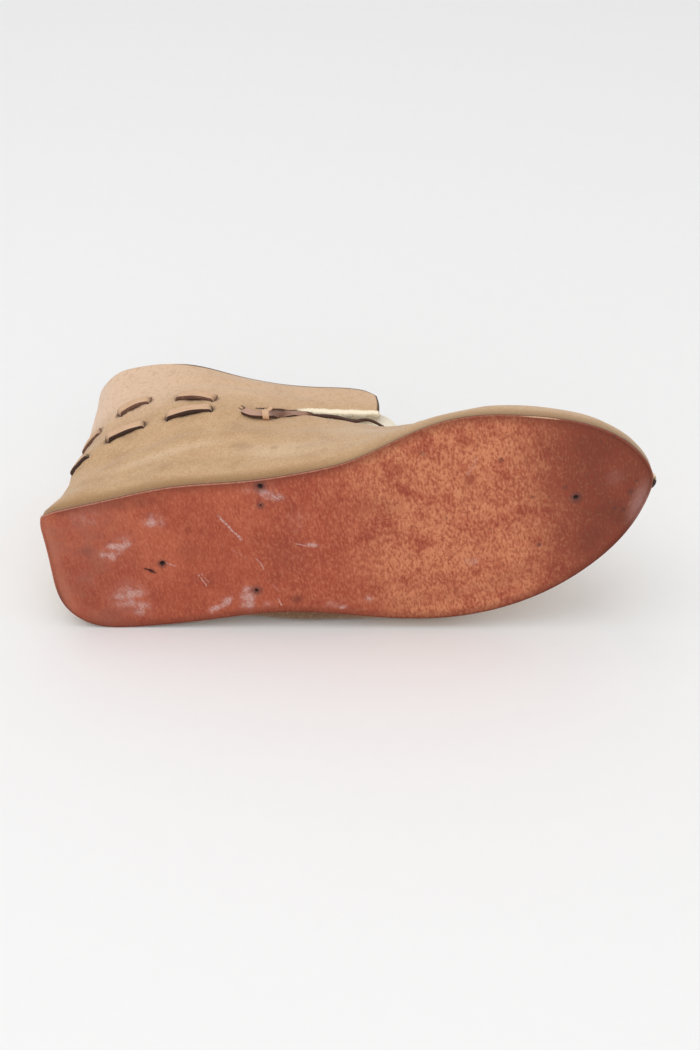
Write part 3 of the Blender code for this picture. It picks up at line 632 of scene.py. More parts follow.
SLIT_LIP_WIDE = 1.8
SLIT_RING = ((0.0, -1.0), (0.7, -0.72), (1.0, -0.2), (1.0, 0.2), (0.7, 0.72), (0.0, 1.0),
             (-0.7, 0.72), (-1.0, 0.2), (-1.0, -0.2), (-0.7, -0.72))
COLLAR = (
    # from the medial cut round the heel to the lateral cut: mid x, y, z, collar edge x, y, z
    (100.5, -26.3, 89.0, 100.5, -23.0, 104.2),
    (66.0, -32.8, 93.5, 65.0, -33.8, 111.6),
    (38.0, -30.4, 97.0, 36.5, -32.8, 119.7),
    (22.4, -26.4, 98.0, 20.6, -28.4, 120.0),
    (13.8, -19.6, 98.0, 13.4, -20.8, 121.2),
    (9.2, -10.8, 98.0, 9.8, -11.2, 121.5),
    (7.2, 4.0, 98.0, 8.8, 4.0, 121.0),
    (9.2, 20.2, 98.0, 9.2, 22.2, 121.0),
    (16.5, 31.4, 98.0, 15.0, 33.8, 121.5),
    (32.0, 37.4, 97.0, 31.5, 39.4, 120.5),
    (66.0, 40.2, 95.0, 65.0, 41.0, 117.0),
    (100.0, 33.6, 90.0, 100.0, 31.5, 108.0),
)
FLAP_MEDIAL = (
    # from the cut to the tip: low x, y, z, mid x, y, z, top x, y, z
    (113.0, -22.9, 73.6, 113.0, -22.2, 87.5, 113.5, -19.8, 102.5),
    (134.0, -17.2, 75.0, 134.5, -17.0, 87.5, 135.0, -16.2, 100.5),
    (149.0, -13.8, 76.2, 149.5, -14.0, 87.0, 149.0, -13.7, 98.0),
    (155.8, -12.4, 76.8, 156.1, -12.5, 84.5, 154.8, -12.4, 93.0),
)
FLAP_LATERAL = (
    (113.0, 30.6, 73.8, 113.0, 29.8, 88.0, 113.5, 27.8, 103.5),
    (132.0, 25.2, 75.0, 132.5, 24.4, 87.0, 133.0, 23.0, 100.0),
    (146.0, 20.2, 76.0, 146.5, 20.0, 86.5, 146.0, 19.2, 97.5),
    (152.0, 18.4, 77.0, 152.3, 18.2, 84.0, 151.0, 17.8, 92.0),
)
CREASES = (
    # side, places x, z along it, depth (a ridge is negative), width
    (-1, ((26, 27), (46, 35), (72, 41), (100, 44)), -0.5, 5.0),
    (-1, ((30, 38), (48, 44), (70, 48)), 0.4, 4.0),
    (-1, ((60, 97), (78, 93), (96, 93)), 0.55, 3.6),
    (-1, ((34, 104), (58, 103), (84, 99), (104, 97)), -0.5, 3.4),
    (-1, ((40, 90), (60, 88), (84, 83), (100, 76)), 0.4, 3.0),
    (-1, ((96, 58), (112, 50), (128, 46)), 0.45, 4.0),
    (-1, ((92, 36), (108, 30), (126, 28)), 0.4, 4.5),
    (-1, ((112, 22), (132, 18), (156, 18)), 0.5, 4.0),
    (-1, ((124, 60), (136, 54), (146, 47)), -0.5, 5.0),
    (-1, ((160, 50), (166, 40), (175, 28)), 2.8, 13.0),
    (-1, ((182, 24), (190, 21), (202, 16)), 0.7, 8.0),
    (-1, ((110, 92), (128, 88), (146, 88)), 0.4, 4.0),
    (-1, ((124, 66), (132, 61), (140, 58)), -1.5, 6.0),
    (1, ((28, 34), (46, 39), (74, 44), (100, 48)), -0.5, 5.0),
    (1, ((30, 104), (56, 102), (84, 98)), 0.5, 3.6),
    (1, ((96, 58), (114, 50), (130, 44)), 0.5, 4.0),
    (1, ((104, 30), (126, 26), (150, 26)), 0.5, 4.5),
    (1, ((110, 92), (128, 88), (144, 87)), 0.4, 4.0),
)
HEEL_FLARE = (
    # height over the seam, how far out, width: in under the thongs, then out to the medial corner
    (10.0, 1.5, 7.0), (36.0, -1.8, 12.0),
)
# x, half length, how far out, height over the seam, width under it and over it
OVERHANG = (110.0, 28.0, 2.6, 5.0, 3.5, 9.0)
VAMP_CREASES = (
    # x at the middle, bow to the sides, depth, width
    (186.0, -0.006, 0.6, 3.0), (194.0, -0.007, -0.45, 3.0), (203.0, -0.008, 0.55, 3.2),
    (176.0, -0.004, 0.4, 2.6),
)
DIRT = (
    # x, z on the medial wall, half length, half height, turn in degrees, strength
    (96.6, 31.1, 5.0, 3.6, 0, 0.6), (111.4, 27.3, 2.2, 2.0, 0, 0.7), (104.0, 44.0, 9.0, 6.0, -20, 0.4),
    (92.0, 50.0, 6.0, 5.0, 0, 0.35), (60.0, 40.0, 12.0, 4.0, 10, 0.3), (128.0, 24.0, 8.0, 3.0, 0, 0.3),
    (70.0, 20.0, 16.0, 3.0, 0, 0.35), (40.0, 62.0, 8.0, 5.0, 0, 0.3), (84.0, 70.0, 7.0, 3.0, -20, 0.3),
    (109.0, 92.0, 1.0, 1.0, 0, 0.6), (134.0, 30.0, 5.0, 3.0, -30, 0.3), (24.0, 22.0, 9.0, 3.0, 10, 0.35),
)
RIDGE_HIGHLIGHTS = (
    # painted highlights along fold ridges: x, z on the medial wall, half length, half height, turn in
    # degrees, strength
    (118.0, 24.0, 26.0, 7.0, -6, 0.9), (148.0, 40.0, 18.0, 10.0, -24, 0.6), (60.0, 31.0, 32.0, 3.5, 12, 0.8),
    (84.0, 86.0, 20.0, 3.0, -14, 0.5),
)


def skive_height(inset):
    """Height of the sole's skived edge over the tread, at a way in from the outline."""
    return SOLE_EDGE_SHOW + (SOLE_THICK - SOLE_EDGE_SHOW) * min(inset / SOLE_SKIVE, 1.0)


def up(levels, share):
    """A column's points at shares of its length through its level points."""
    way = lengths(levels)
    return spline(way, levels, np.asarray(share) * way[-1])


class Upper:
    """The upper's outer face: body ring, ankle band and two flaps."""

    def __init__(self, step):
        found = []
        cuts = {}
        for i in range(len(SECTIONS)):
            cuts[i] = len(found)
            count = max(2, round((SECTION_WAY[i + 1] - SECTION_WAY[i]) / step))
            found.extend(np.linspace(SECTION_WAY[i], SECTION_WAY[i + 1], count, endpoint=False))
        self.at = np.array(found)
        self.count = len(found)
        self.evened = ((cuts[TOE_SECTION - 4], cuts[TOE_SECTION + 4], 8, 240), (0, cuts[5], 5, 40))
        cut_m, cut_l = cuts[CUT_MEDIAL], cuts[CUT_LATERAL]
        turn = SECTION_WAY[-1]
        levels = self.levels()
        self.band = [c % self.count for c in range(cut_m, cut_l - self.count - 1, -1)]
        band_at = [SECTION_WAY[CUT_MEDIAL] - SECTION_WAY[i] for i in range(CUT_MEDIAL, -1, -1)]
        band_at += [SECTION_WAY[CUT_MEDIAL] + turn - SECTION_WAY[i]
                    for i in range(len(SECTIONS) - 1, CUT_LATERAL - 1, -1)]
        collar = np.array(COLLAR)
        flaps = (np.array(FLAP_MEDIAL), np.array(FLAP_LATERAL))
        reach_m = lengths(np.vstack([collar[0, 3:], flaps[0][:, 6:]]))[1:]
        reach_l = lengths(np.vstack([collar[-1, 3:], flaps[1][:, 6:]]))[1:]
        way = np.concatenate([-reach_m[::-1], band_at, band_at[-1] + reach_l])
        mid = np.vstack([flaps[0][::-1, 3:6], collar[:, :3], flaps[1][:, 3:6]])
        top = np.vstack([flaps[0][::-1, 6:], collar[:, 3:], flaps[1][:, 6:]])
        here = np.array([(SECTION_WAY[CUT_MEDIAL] - self.at[c]) % turn for c in self.band])
        self.band_share = here / here[-1]
        band_mid, band_top = spline(way, mid, here), spline(way, top, here)
        self.columns = {c: levels[:, c] for c in range(self.count)}
        for k, c in enumerate(self.band):
            self.columns[c] = np.vstack([levels[:, c], band_mid[k], band_top[k]])
        self.flaps = []
        for reach, rows, sign, first in ((reach_m, flaps[0], -1, cut_m), (reach_l, flaps[1], 1, cut_l)):
            base = 0.0 if sign < 0 else band_at[-1]
            steps = np.linspace(0, reach[-1], round(reach[-1] / step) + 1)[1:]
            low = spline(np.concatenate([[0.0], reach]), np.vstack([levels[3, first], rows[:, :3]]), steps)
            self.flaps.append(list(np.stack([low, spline(way, mid, base + sign * steps),
                                             spline(way, top, base + sign * steps)], axis=1)))

    def levels(self):
        """Feather, wall, shoulder and top points of every column."""
        edge, out = outline(self.at)
        rest = spline(SECTION_WAY, SECTION_ROWS[:, 2:], self.at, True)
        made = np.zeros((4, self.count, 3))
        made[0, :, :2] = edge - out * FEATHER_INSET
        made[0, :, 2] = spring(edge[:, 0]) + skive_height(FEATHER_INSET) + SEAM_GAP
        made[1, :, :2] = edge + out * (rest[:, 0:1] - WALL_INSET)
        made[1, :, 2] = rest[:, 1]
        made[2, :, :2] = edge - out * rest[:, 2:3]
        made[2, :, 2] = rest[:, 3]
        made[3] = rest[:, 4:7]
        return made

    def girdle(self, column):
        """Share of a band column's length at which it crosses the girdle."""
        way = lengths(self.columns[column])
        return way[3] / way[-1]

    def mesh(self):
        """Vertices, faces, height over the seam, and how raw the edge nearby is."""
        verts, faces, height, raw = [], [], [], []

        def column(levels, share, edges):
            line = up(levels, share)
            ids = list(range(len(verts), len(verts) + len(line)))
            verts.extend(line)
            height.extend(np.asarray(share) * lengths(levels)[-1])
            raw.extend(edges)
            return ids
        low = np.linspace(0, 1, LOW_ROWS + 1)**1.25
        banded = set(self.band)
        grid = [column(self.columns[c], low * (self.girdle(c) if c in banded else 1.0),
                       np.zeros(LOW_ROWS + 1)) for c in range(self.count)]
        for c in range(self.count):
            a, b = grid[c], grid[(c + 1) % self.count]
            faces.extend((a[r], b[r], b[r + 1], a[r + 1]) for r in range(LOW_ROWS))
        high = np.linspace(0, 1, BAND_ROWS + 1)
        strips = []
        for c in self.band:
            girdle = self.girdle(c)
            strips.append([grid[c][-1], *column(self.columns[c], girdle + high[1:] * (1 - girdle),
                                                np.zeros(BAND_ROWS))])
        wings = []
        for flap in self.flaps:
            ragged = RAW_DROP + RAW_RAGGED * ripple(np.array(flap)[:, 0, :1], 7.0, 21)
            shown = np.clip(1.5 - high * FLAP_TALL / RAW_SHOWN, 0, 1)
            wings.append([column(levels - np.outer((ragged[k] * min(1.0, k / 8), 0, 0), (0, 0, 1)), high,
                                 shown * np.clip((k - 8) / 9, 0, 1)) for k, levels in enumerate(flap)])
        chain = wings[0][::-1] + strips + wings[1]
        for a, b in zip(chain[:-1], chain[1:]):
            faces.extend((a[r], a[r + 1], b[r + 1], b[r]) for r in range(BAND_ROWS))
        for ids in wings[0] + wings[1]:
            for r, i in enumerate(ids):
                height[i] = FLAP_FROM + FLAP_TALL * r / BAND_ROWS
        verts = np.array(verts)
        for first, last, low_row, most in self.evened:
            for r in range(low_row, LOW_ROWS + 1):
                ids = [grid[c][r] for c in range(first, last)]
                for _ in range(min(most, 8 * (r - low_row))):
                    verts[ids[1:-1]] = (verts[ids[:-2]] + 2 * verts[ids[1:-1]] + verts[ids[2:]]) / 4
        return verts, faces, np.array(height), np.array(raw)

    def at_height(self, index, z):
        """Point of a column of the band at a height over the tread."""
        levels = self.columns[self.band[min(max(index, 0), len(self.band) - 1)]]
        share = np.linspace(0, 1, 81)
        return up(levels, [np.interp(z, up(levels, share)[:, 2], share)])[0]

    def on_band(self, where, z):
        """Point, outward normal, way along and way up on the band at a height."""
        reach = 4
        k = np.clip(where, 0, len(self.band) - 1.001)
        i = int(k)
        f = k - i
        p = self.at_height(i, z) * (1 - f) + self.at_height(i + 1, z) * f
        along = unit(self.at_height(i + reach, z) - self.at_height(i - reach, z))
        rise = self.at_height(i, z + 2.0) * (1 - f) + self.at_height(i + 1, z + 2.0) * f - p
        rise = unit(rise - along * (rise @ along))
        return p, np.cross(rise, along), along, rise


def face_normals(verts, faces):
    """Vertex normals of a mesh of quads."""
    f = np.array(faces)
    turn = np.cross(verts[f[:, 2]] - verts[f[:, 0]], verts[f[:, 3]] - verts[f[:, 1]])
    normal = np.zeros_like(verts)
    for k in range(4):
        np.add.at(normal, f[:, k], turn)
    return unit(normal)


def near_chain(flat, chain):
    """Distance of points from a chain of straight pieces."""
    return np.min([to_segment(flat, *a, *b) for a, b in zip(chain[:-1], chain[1:])], axis=0)


def ease(share):
    """0 to 1, soft at both ends."""
    share = np.clip(share, 0, 1)
    return share * share * (3 - 2 * share)


def crease(verts, normal, height):
    """How far each point of the outer face stands out from its plain form."""
    side = np.where(normal[:, 1] < 0, -1, 1)
    wall = np.abs(normal[:, 1])
    flat = verts[:, [0, 2]]
    moved = SEAM_ROLL * np.exp(-((height - 8.0) / 5.5)**2) * np.clip(height / 3.0, 0, 1)
    moved *= np.clip((235 - verts[:, 0]) / 40, 0.25, 1) * (0.65 - 0.35 * np.clip(normal[:, 1] / 0.6, -1, 1))
    for which, chain, deep, wide in CREASES:
        from_line = near_chain(flat, np.array(chain, float))
        moved -= deep * np.exp(-(from_line / wide)**2) * (side == which) * np.clip(wall * 1.6 - 0.3, 0, 1)
    top = np.clip((verts[:, 2] - 24) / 12, 0, 1) * (height < 200) * (verts[:, 0] > 168)
    for x, bow, deep, wide in VAMP_CREASES:
        moved -= deep * np.exp(-((verts[:, 0] - x - bow * verts[:, 1]**2) / wide)**2) * top
    moved += UNEVEN * ripple(verts, 22.0, 11) * np.clip(height / 10, 0, 1)
    return moved


def hang(verts, normal, height):
    """How far the turned wall stands in or out by the heel's corner and over the lateral waist."""
    corner = ease((46 - verts[:, 0]) / 32) * ease(0.75 - normal[:, 1])
    moved = np.zeros(len(verts))
    for level, out, wide in HEEL_FLARE:
        moved += out * np.exp(-((height - level) / wide)**2) * corner * np.clip(height / 3.0, 0, 1)
    x, long, out, level, under, over = OVERHANG
    fold = np.exp(-((height - level) / np.where(height < level, under, over))**2
                  - ((verts[:, 0] - x) / long)**2)
    return moved + out * fold * np.clip(height / 2.0, 0, 1) * np.clip(normal[:, 1] * 2, 0, 1)


def wall_solid(verts, faces, thick):
    """Closed wall from the outer face: its inner face, and rounded rims between them."""
    normal = face_normals(verts, faces)
    inner = verts - normal * thick[:, None]
    low = skive_height(FEATHER_INSET) + SEAM_GAP
    feather = verts[:, 2] < spring(verts[:, 0]) + low + 0.02
    inner[feather, :2] = verts[feather, :2] - unit(normal[feather, :2]) * WALL
    inner[feather, 2] = verts[feather, 2] - low + skive_height(FEATHER_INSET + WALL) + SEAM_GAP
    f = np.array(faces)
    middle = verts[f].mean(axis=1)
    beyond = np.zeros_like(verts)
    for k in range(4):
        np.add.at(beyond, f[:, k], verts[f[:, k]] - middle)
    beyond -= normal * np.sum(beyond * normal, axis=1)[:, None]
    beyond /= np.maximum(np.linalg.norm(beyond, axis=1), 1e-9)[:, None]
    count = len(verts)
    ways = np.concatenate([f, np.roll(f, -1, axis=1)]).reshape(2, -1, 4)
    edges = set(zip(ways[0].ravel().tolist(), ways[1].ravel().tolist()))
    rim = [(a, b) for a, b in sorted(edges) if (b, a) not in edges]
    on_rim = sorted({a for a, _ in rim})
    bulge = np.where(feather, 0.0, RIM_BULGE)
    made = [verts, inner]
    loops = {i: [i] for i in on_rim}
    start = 2 * count
    for share, out in RIM_ROUND:
        made.append(verts[on_rim] * (1 - share) + inner[on_rim] * share
                    + beyond[on_rim] * (bulge[on_rim] * out)[:, None])
        for k, i in enumerate(on_rim):
            loops[i].append(start + k)
        start += len(on_rim)
    for i in on_rim:
        loops[i].append(i + count)
    solid = [tuple(q) for q in faces] + [tuple(i + count for i in reversed(q)) for q in faces]
    for a, b in rim:
        solid.extend((loops[b][k], loops[a][k], loops[a][k + 1], loops[b][k + 1]) for k in range(4))
    source = np.concatenate([np.arange(count), np.arange(count), np.tile(on_rim, 3)])
    inside = np.concatenate([np.zeros(count), np.ones(count), np.full(3 * len(on_rim), 0.5)])
    edge = np.zeros(len(source))
    edge[2 * count:] = 1.0
    edge[on_rim] = 0.8
    edge[feather[source]] = 0.0
    return np.concatenate(made), solid, source, inside, edge


def slit_boxes(cuts):
    """One lens-ended block through the wall at each slit, and one at the back end of the medial cut."""
    verts, faces = [], []

    def block(near, far):
        base, n = len(verts), len(near)
        verts.extend([*near, *far])
        faces.append(tuple(base + i for i in range(n)))
        faces.append(tuple(base + n + i for i in reversed(range(n))))
        faces.extend((base + i, base + n + i, base + n + (i + 1) % n, base + (i + 1) % n) for i in range(n))
    for p, out, along, rise in cuts:
        block(*([p + out * deep + along * a * SLIT_WIDE / 2 + rise * b * SLIT_LONG / 2 for a, b in SLIT_RING]
                for deep in SLIT_REACH))
    block(*([np.array([x, y, z]) for x, z in FRONT_CUT] for y in FRONT_REACH))
    return verts, faces


def search_tree(points):
    """Tree that finds the nearest of some points."""
    tree = KDTree(len(points))
    for i, p in enumerate(points):
        tree.insert(p, i)
    tree.balance()
    return tree


def shoe_places(mesh):
    """A finished mesh's points in shoe millimetres; an older record of them is dropped."""
    if "shoe" in mesh.attributes:
        mesh.attributes.remove(mesh.attributes["shoe"])
    here = np.empty(3 * len(mesh.vertices), np.float32)
    mesh.vertices.foreach_get("co", here)
    return (here.reshape(-1, 3) / MM - REST) @ LIE


def nubuck_finish():
    """Tan nubuck: paler collar and vamp, olive and darker towards the seam, dirt spots, painted shade on the
    lateral waist, under the bars and round the slits, painted highlights along fold ridges, cream raw edges,
    soft nap.
    """
    tan = tint(200, 163, 122)
    shade = tint(170, 131, 92)
    blush = tint(230, 198, 172)
    olive = tint(156, 120, 80)
    sand = tint(218, 188, 154)
    soil_and_shade = tint(128, 94, 64)
    cream = tint(253, 240, 212)
    flesh = tint(206, 176, 138)
    dark = tint(74, 48, 36)
    made = Finish("tan_nubuck", specular=0.25, roughness=0.9, sheen_weight=0.25, sheen_roughness=0.45)
    at = made.attribute("shoe", "Vector")
    x, y, z = made.parts(at)
    height, raw, dirt = (made.attribute(name) for name in ("height", "raw", "dirt"))
    drawn = made.stretch(at, 0.8, 1, 1.1)
    clouds = made.noise(at, 20.0, 4.0, 0.6, 0.3)
    mottle = made.noise(drawn, 6.0, 5.0, 0.65, 0.4)
    nap = made.noise(at, 0.8, 3.0, 0.75)
    pores = made.noise(at, 2.2, 3.0, 0.6)
    by_seam = 0.98 - 0.5 * x.rise(115, 148) + 0.4 * x.rise(170, 225)
    colour = made.mix(
        tan,
        (shade, clouds.rise(0.46, 0.74) * 0.6),
        (blush, z.rise(62, 96) * (0.92 - 0.55 * x.rise(10, 100))),
        (sand, x.rise(130, 200) * 0.36),
        # painted highlights along the folds' ridges
        (sand, made.attribute("pale") * (0.5 + 0.5 * pores)),
        (sand, mottle.rise(0.52, 0.76) * 0.35),
        (shade, mottle.rise(0.48, 0.24) * 0.3),
        (olive, height.rise(8.5, 2.0) * by_seam * (0.7 + 0.5 * pores)),
        (soil_and_shade, height.rise(3.0, 0.4) * 0.6),
        (soil_and_shade, dirt * (0.2 + 0.5 * pores)),
        # only the lateral wall's painted shade rises over 0.9: darkest low over the lateral waist
        (dark, dirt.rise(0.9, 1.7) * 0.75),
        (shade, pores.rise(0.5, 0.7) * 0.3),
        (shade, nap.rise(0.5, 0.7) * (0.75 - 0.35 * z.rise(62, 96))),
        (sand, nap.rise(0.5, 0.3) * (0.2 + 0.4 * height.rise(1, 12))),
        # painted shade at the curled ends of the cut
        *((dark, line_mark(x, z, *nick_shade) * y.rise(-15, -18) * 0.9) for nick_shade in FRONT_NICK_SHADE),
        # painted shade under the thong bars, round the slits and under the loose end by the front cut
        (dark, made.attribute("hollow") * 0.88),
        (flesh, made.attribute("inside").rise(0.6, 0.95)),
        (dark, made.attribute("rim").rise(0.05, 0.5) * 0.95),
        (cream, (raw + 0.8 * (nap - 0.5)).rise(0.3, 0.62)))
    wrinkle = made.node("ShaderNodeTexVoronoi", {"feature": "SMOOTH_F1"},
                        {"Vector": drawn, "Scale": 1 / 3.2, "Smoothness": 0.8})
    return made.done(colour, 0.8 + 0.2 * nap, (clouds, 0.0009, 0.3), (wrinkle, 0.00035, 0.3),
                     (pores, 0.00025, 0.35), (nap, 0.00016, 0.6))


body = Upper(COLUMN_STEP)
ROWS = (
    # share of the way round the ankle, upper row z, lower row z
    (0.00, 66.5, 65.5), (0.0875, 76.4, 66.4), (0.165, 81.0, 63.0), (0.24, 85.6, 62.0), (0.31, 81.0, 55.5),
    (0.36, 76.0, 47.5), (0.50, 73.0, 44.5), (0.64, 76.0, 47.5), (0.69, 81.0, 55.5), (0.76, 85.6, 62.0),
    (0.835, 81.0, 63.0), (0.9125, 76.4, 66.4), (1.00, 66.5, 65.5),
)
# column in ROWS, way of the slits from the front on both sides, how far the bars stand out
ROW_UPPER = (1, (23.5, 42.2, 58.5, 74.7, 87.5, 101.5), (1.2, 1.2, 0.0))
ROW_LOWER = (2, (22.0, 43.2, 55.5, 74.2, 86.8, 99.0), (1.2, 1.2, -1.2))
# thickness and rise are those of the bars, from the front to the heel
THONG_WIDTH = 5.4
THONG_INSIDE = 1.1
THONG_THICK = (2.4, 2.4, 2.0)
THONG_RISE = (0.45, 0.35, 0.1)
THONG_SINK = 1.3
THONG_DIVE = 1.2
THONG_STEP = 0.45
THONG_PAST = 6.0
FRONT_SLIT = (93.3, 68.8)
FRONT_CUT = (
    # x, z round the back end of the medial cut, which the loose end lies over
    (92.8, 69.0), (95.0, 66.2), (98.5, 63.9), (103.0, 63.2), (107.0, 64.6), (110.0, 66.6), (113.0, 68.4),
    (117.0, 69.4), (116.0, 71.6), (112.0, 70.9), (107.0, 69.0), (102.0, 67.0), (97.5, 67.4), (94.5, 69.2),
)
FRONT_REACH = (-38.0, -15.0)
FRONT_PUCKER = 0.35
PUCKER_RAYS = 7
FRONT_SHADE = ((94.5, 66.4), (98.5, 63.2), (103.0, 62.2), (108.0, 62.6), (112.0, 64.0), (116.0, 65.8))
FRONT_NICK_SHADE = (
    # x, z from and to, half width: painted shade along the curled ends of the cut
    (92.2, 71.6, 94.6, 68.6, 0.5), (91.0, 69.2, 93.4, 66.8, 0.45), (93.2, 68.4, 97.0, 67.6, 0.35),
)


def thong_path(row):
    """A woven thong: path, way of its width, thickness, nearness of a slit, slits, places of its bars."""
    column, ways, stands = row
    table = np.array(ROWS)
    count = len(body.band)

    def on_row(where):
        share = [np.interp(where, np.arange(count), body.band_share)]
        return body.on_band(where, spline(table[:, 0], table[:, column:column + 1], share)[0, 0])
    probe = np.linspace(0, count - 1, 160)
    way = lengths(np.array([on_row(w)[0] for w in probe]))
    slits = list(ways) + [way[-1] - w for w in reversed(ways)]
    fine = np.arange(slits[0] - THONG_PAST, slits[-1] + THONG_PAST, THONG_STEP)
    off = np.full(len(fine), -(WALL + THONG_SINK + THONG_INSIDE / 2))
    thick = np.full(len(fine), THONG_INSIDE)
    for k, (start, end) in enumerate(zip(slits[0::2], slits[1::2])):
        bar = min(k, 5 - k)
        share = np.clip((fine - start) / (end - start), 0, 1)
        share = share if k < 3 else 1 - share
        stand = stands[bar] * (0.5 + 0.5 * ease(share / 0.55)) + THONG_RISE[bar] * np.sin(math.pi * share)
        shown = (ease((fine - start + THONG_DIVE) / 2 / THONG_DIVE)
                 * ease((end + THONG_DIVE - fine) / 2 / THONG_DIVE))
        off = np.maximum(off, off[0] + (stand - off[0]) * shown)
        thick = np.maximum(thick, THONG_INSIDE + (THONG_THICK[bar] - THONG_INSIDE) * shown**2)

    def place(s):
        p, out = on_row(np.interp(s, way, probe))[:2]
        ahead = on_row(np.interp(s + 1.0, way, probe))[0] - on_row(np.interp(s - 1.0, way, probe))[0]
        ahead = unit(ahead - out * (ahead @ out))
        return p, out, ahead, np.cross(ahead, out)
    frames = [place(s) for s in fine]
    path = np.array([f[0] + f[1] * o for f, o in zip(frames, off)])
    near = np.exp(-(np.min(np.abs(fine[:, None] - np.array(slits)[None]), axis=1) / 0.9)**2)
    under = np.array([f[0] for f, o in zip(frames, off) if o > 0])
    return path, np.array([f[3] for f in frames]), thick, near, [place(s) for s in slits], under


row_paths = [thong_path(ROW_UPPER), thong_path(ROW_LOWER)]
slits = row_paths[0][4] + row_paths[1][4]
slit_at = np.array([s[0] for s in slits])
face, face_quads, face_height, face_raw = body.mesh()
plain = face_normals(face, face_quads)
stand = crease(face, plain, face_height)
to_slit = np.min([np.linalg.norm(face - p, axis=1) for p in slit_at], axis=0)
stand *= np.clip((to_slit - 3.0) / 6.0, 0.15, 1)
stand += SLIT_LIP * np.exp(-((to_slit - SLIT_LIP_AT) / SLIT_LIP_WIDE)**2)
puckers = np.hypot(face[:, 0] - FRONT_SLIT[0], face[:, 2] - FRONT_SLIT[1])
rays = np.cos(PUCKER_RAYS * np.arctan2(face[:, 2] - FRONT_SLIT[1], face[:, 0] - FRONT_SLIT[0]))
stand += np.where(plain[:, 1] < 0, FRONT_PUCKER, 0) * rays * np.exp(-((puckers - 6.0) / 4.0)**2)
stand *= np.clip(face_height / 1.5, 0, 1)
face = face + plain * (stand + hang(face, plain, face_height))[:, None]
sunk = 0.05 - (face @ LIE.T + REST)[:, 2]
face[:, 1] += np.clip(sunk, 0, None) / LIE[2, 1]
verts, quads, source, inside, rim = wall_solid(face, face_quads, WALL + (RAW_WALL - WALL) * face_raw)
upper = piece("nubuck_upper", verts, quads, nubuck_finish())
cutter = piece("slit_cutter", *slit_boxes(slits), None)
cut = upper.modifiers.new("slits", "BOOLEAN")
cut.operation = "DIFFERENCE"
cut.solver = "MANIFOLD"
cut.object = cutter
shown = upper.evaluated_get(bpy.context.evaluated_depsgraph_get())
slitted = bpy.data.meshes.new_from_object(shown)
upper.modifiers.clear()
upper.data = slitted
bpy.data.objects.remove(cutter)
here = shoe_places(slitted)
uncut = search_tree(verts)
near = np.array([uncut.find(p)[1] for p in here])
from_slit = np.min(np.linalg.norm(here[:, None] - slit_at[None], axis=2), axis=1)
# Painted shade on the upper: darker round the slits, under the thong bars and along the front cut's lower
# lip.
bars = search_tree(np.concatenate([r[5] for r in row_paths]))
from_bar = np.array([bars.find(p)[2] for p in here])
shaded = np.exp(-(near_chain(here[:, [0, 2]], np.array(FRONT_SHADE)) / 1.5)**4) * (here[:, 1] < -15)
raw = face_raw[source[near]]
height = face_height[source[near]]
lateral = ease((here[:, 1] + 4) / 24)
waist = np.exp(-(height / 12)**4 - ((here[:, 0] - OVERHANG[0]) / 46)**4)
keep_values(slitted, here, height=height, inside=inside[near], raw=raw,
            rim=rim[near] * (1 - raw) * np.clip((here[:, 0] - 50) / 20, 0, 1),
            # dirt spots on the medial wall; on the lateral wall painted shade, darkest low over the waist
            dirt=ellipses(here[:, [0, 2]], DIRT) * (1 - lateral) + lateral * (0.3 + 1.25 * waist),
            # painted highlights along fold ridges on the medial wall
            pale=ellipses(here[:, [0, 2]], RIDGE_HIGHLIGHTS) * (1 - lateral),
            hollow=np.max([np.exp(-(from_slit / 2.2)**4), np.exp(-(from_bar / 2.9)**8), shaded], axis=0))
slitted.polygons.foreach_set("use_smooth", [True] * len(slitted.polygons))
slitted.set_sharp_from_angle(angle=math.radians(50))
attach(upper, "root")
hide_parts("upper")

# The tongue: one cream piece of leather, flesh side out, about 1.8 mm, folded over the instep.
# Sewn under the throat's edge in front and free above; its edges are left fuzzy.
TONGUE = (
    # from under the throat to the top: centre x, y, z, half width, drop of the edges, their way back
    (173.5, 2.0, 62.0, 4.0, 1.0, 0.5),
    (168.0, 1.9, 65.0, 4.0, 1.4, 0.5),
    (164.0, 1.8, 78.0, 6.0, 11.0, 0.5),
    (159.5, 1.0, 89.5, 7.6, 21.0, 1.0),
    (150.0, 1.2, 97.0, 10.0, 27.0, 2.0),
    (136.0, 1.8, 104.0, 14.0, 32.0, 4.0),
    (122.0, 2.4, 109.5, 17.0, 33.0, 5.0),
    (111.0, 3.0, 114.0, 18.5, 25.0, 5.0),
)
TONGUE_ARC = 1.5
TONGUE_THICK = 1.8
TONGUE_ROWS = 70
TONGUE_CROSS = 46


def tongue_grid(long_rows, cross_rows):
    """Points of the tongue's outer face, rows from its top down."""
    rows = np.array(TONGUE)
    way = lengths(rows[:, :3])
    lines = spline(way, rows, np.linspace(0, way[-1], long_rows))
    side = np.linspace(-1, 1, cross_rows)
    grid = np.zeros((long_rows, cross_rows, 3))
    for i, (x, y, z, half, drop, back) in enumerate(lines):
        grid[i, :, 0] = x - back * side**2
        grid[i, :, 1] = y + half * np.sin(side * TONGUE_ARC) / math.sin(TONGUE_ARC)
        grid[i, :, 2] = z - drop * (1 - np.cos(side * TONGUE_ARC)) / (1 - math.cos(TONGUE_ARC))
    return grid[::-1]


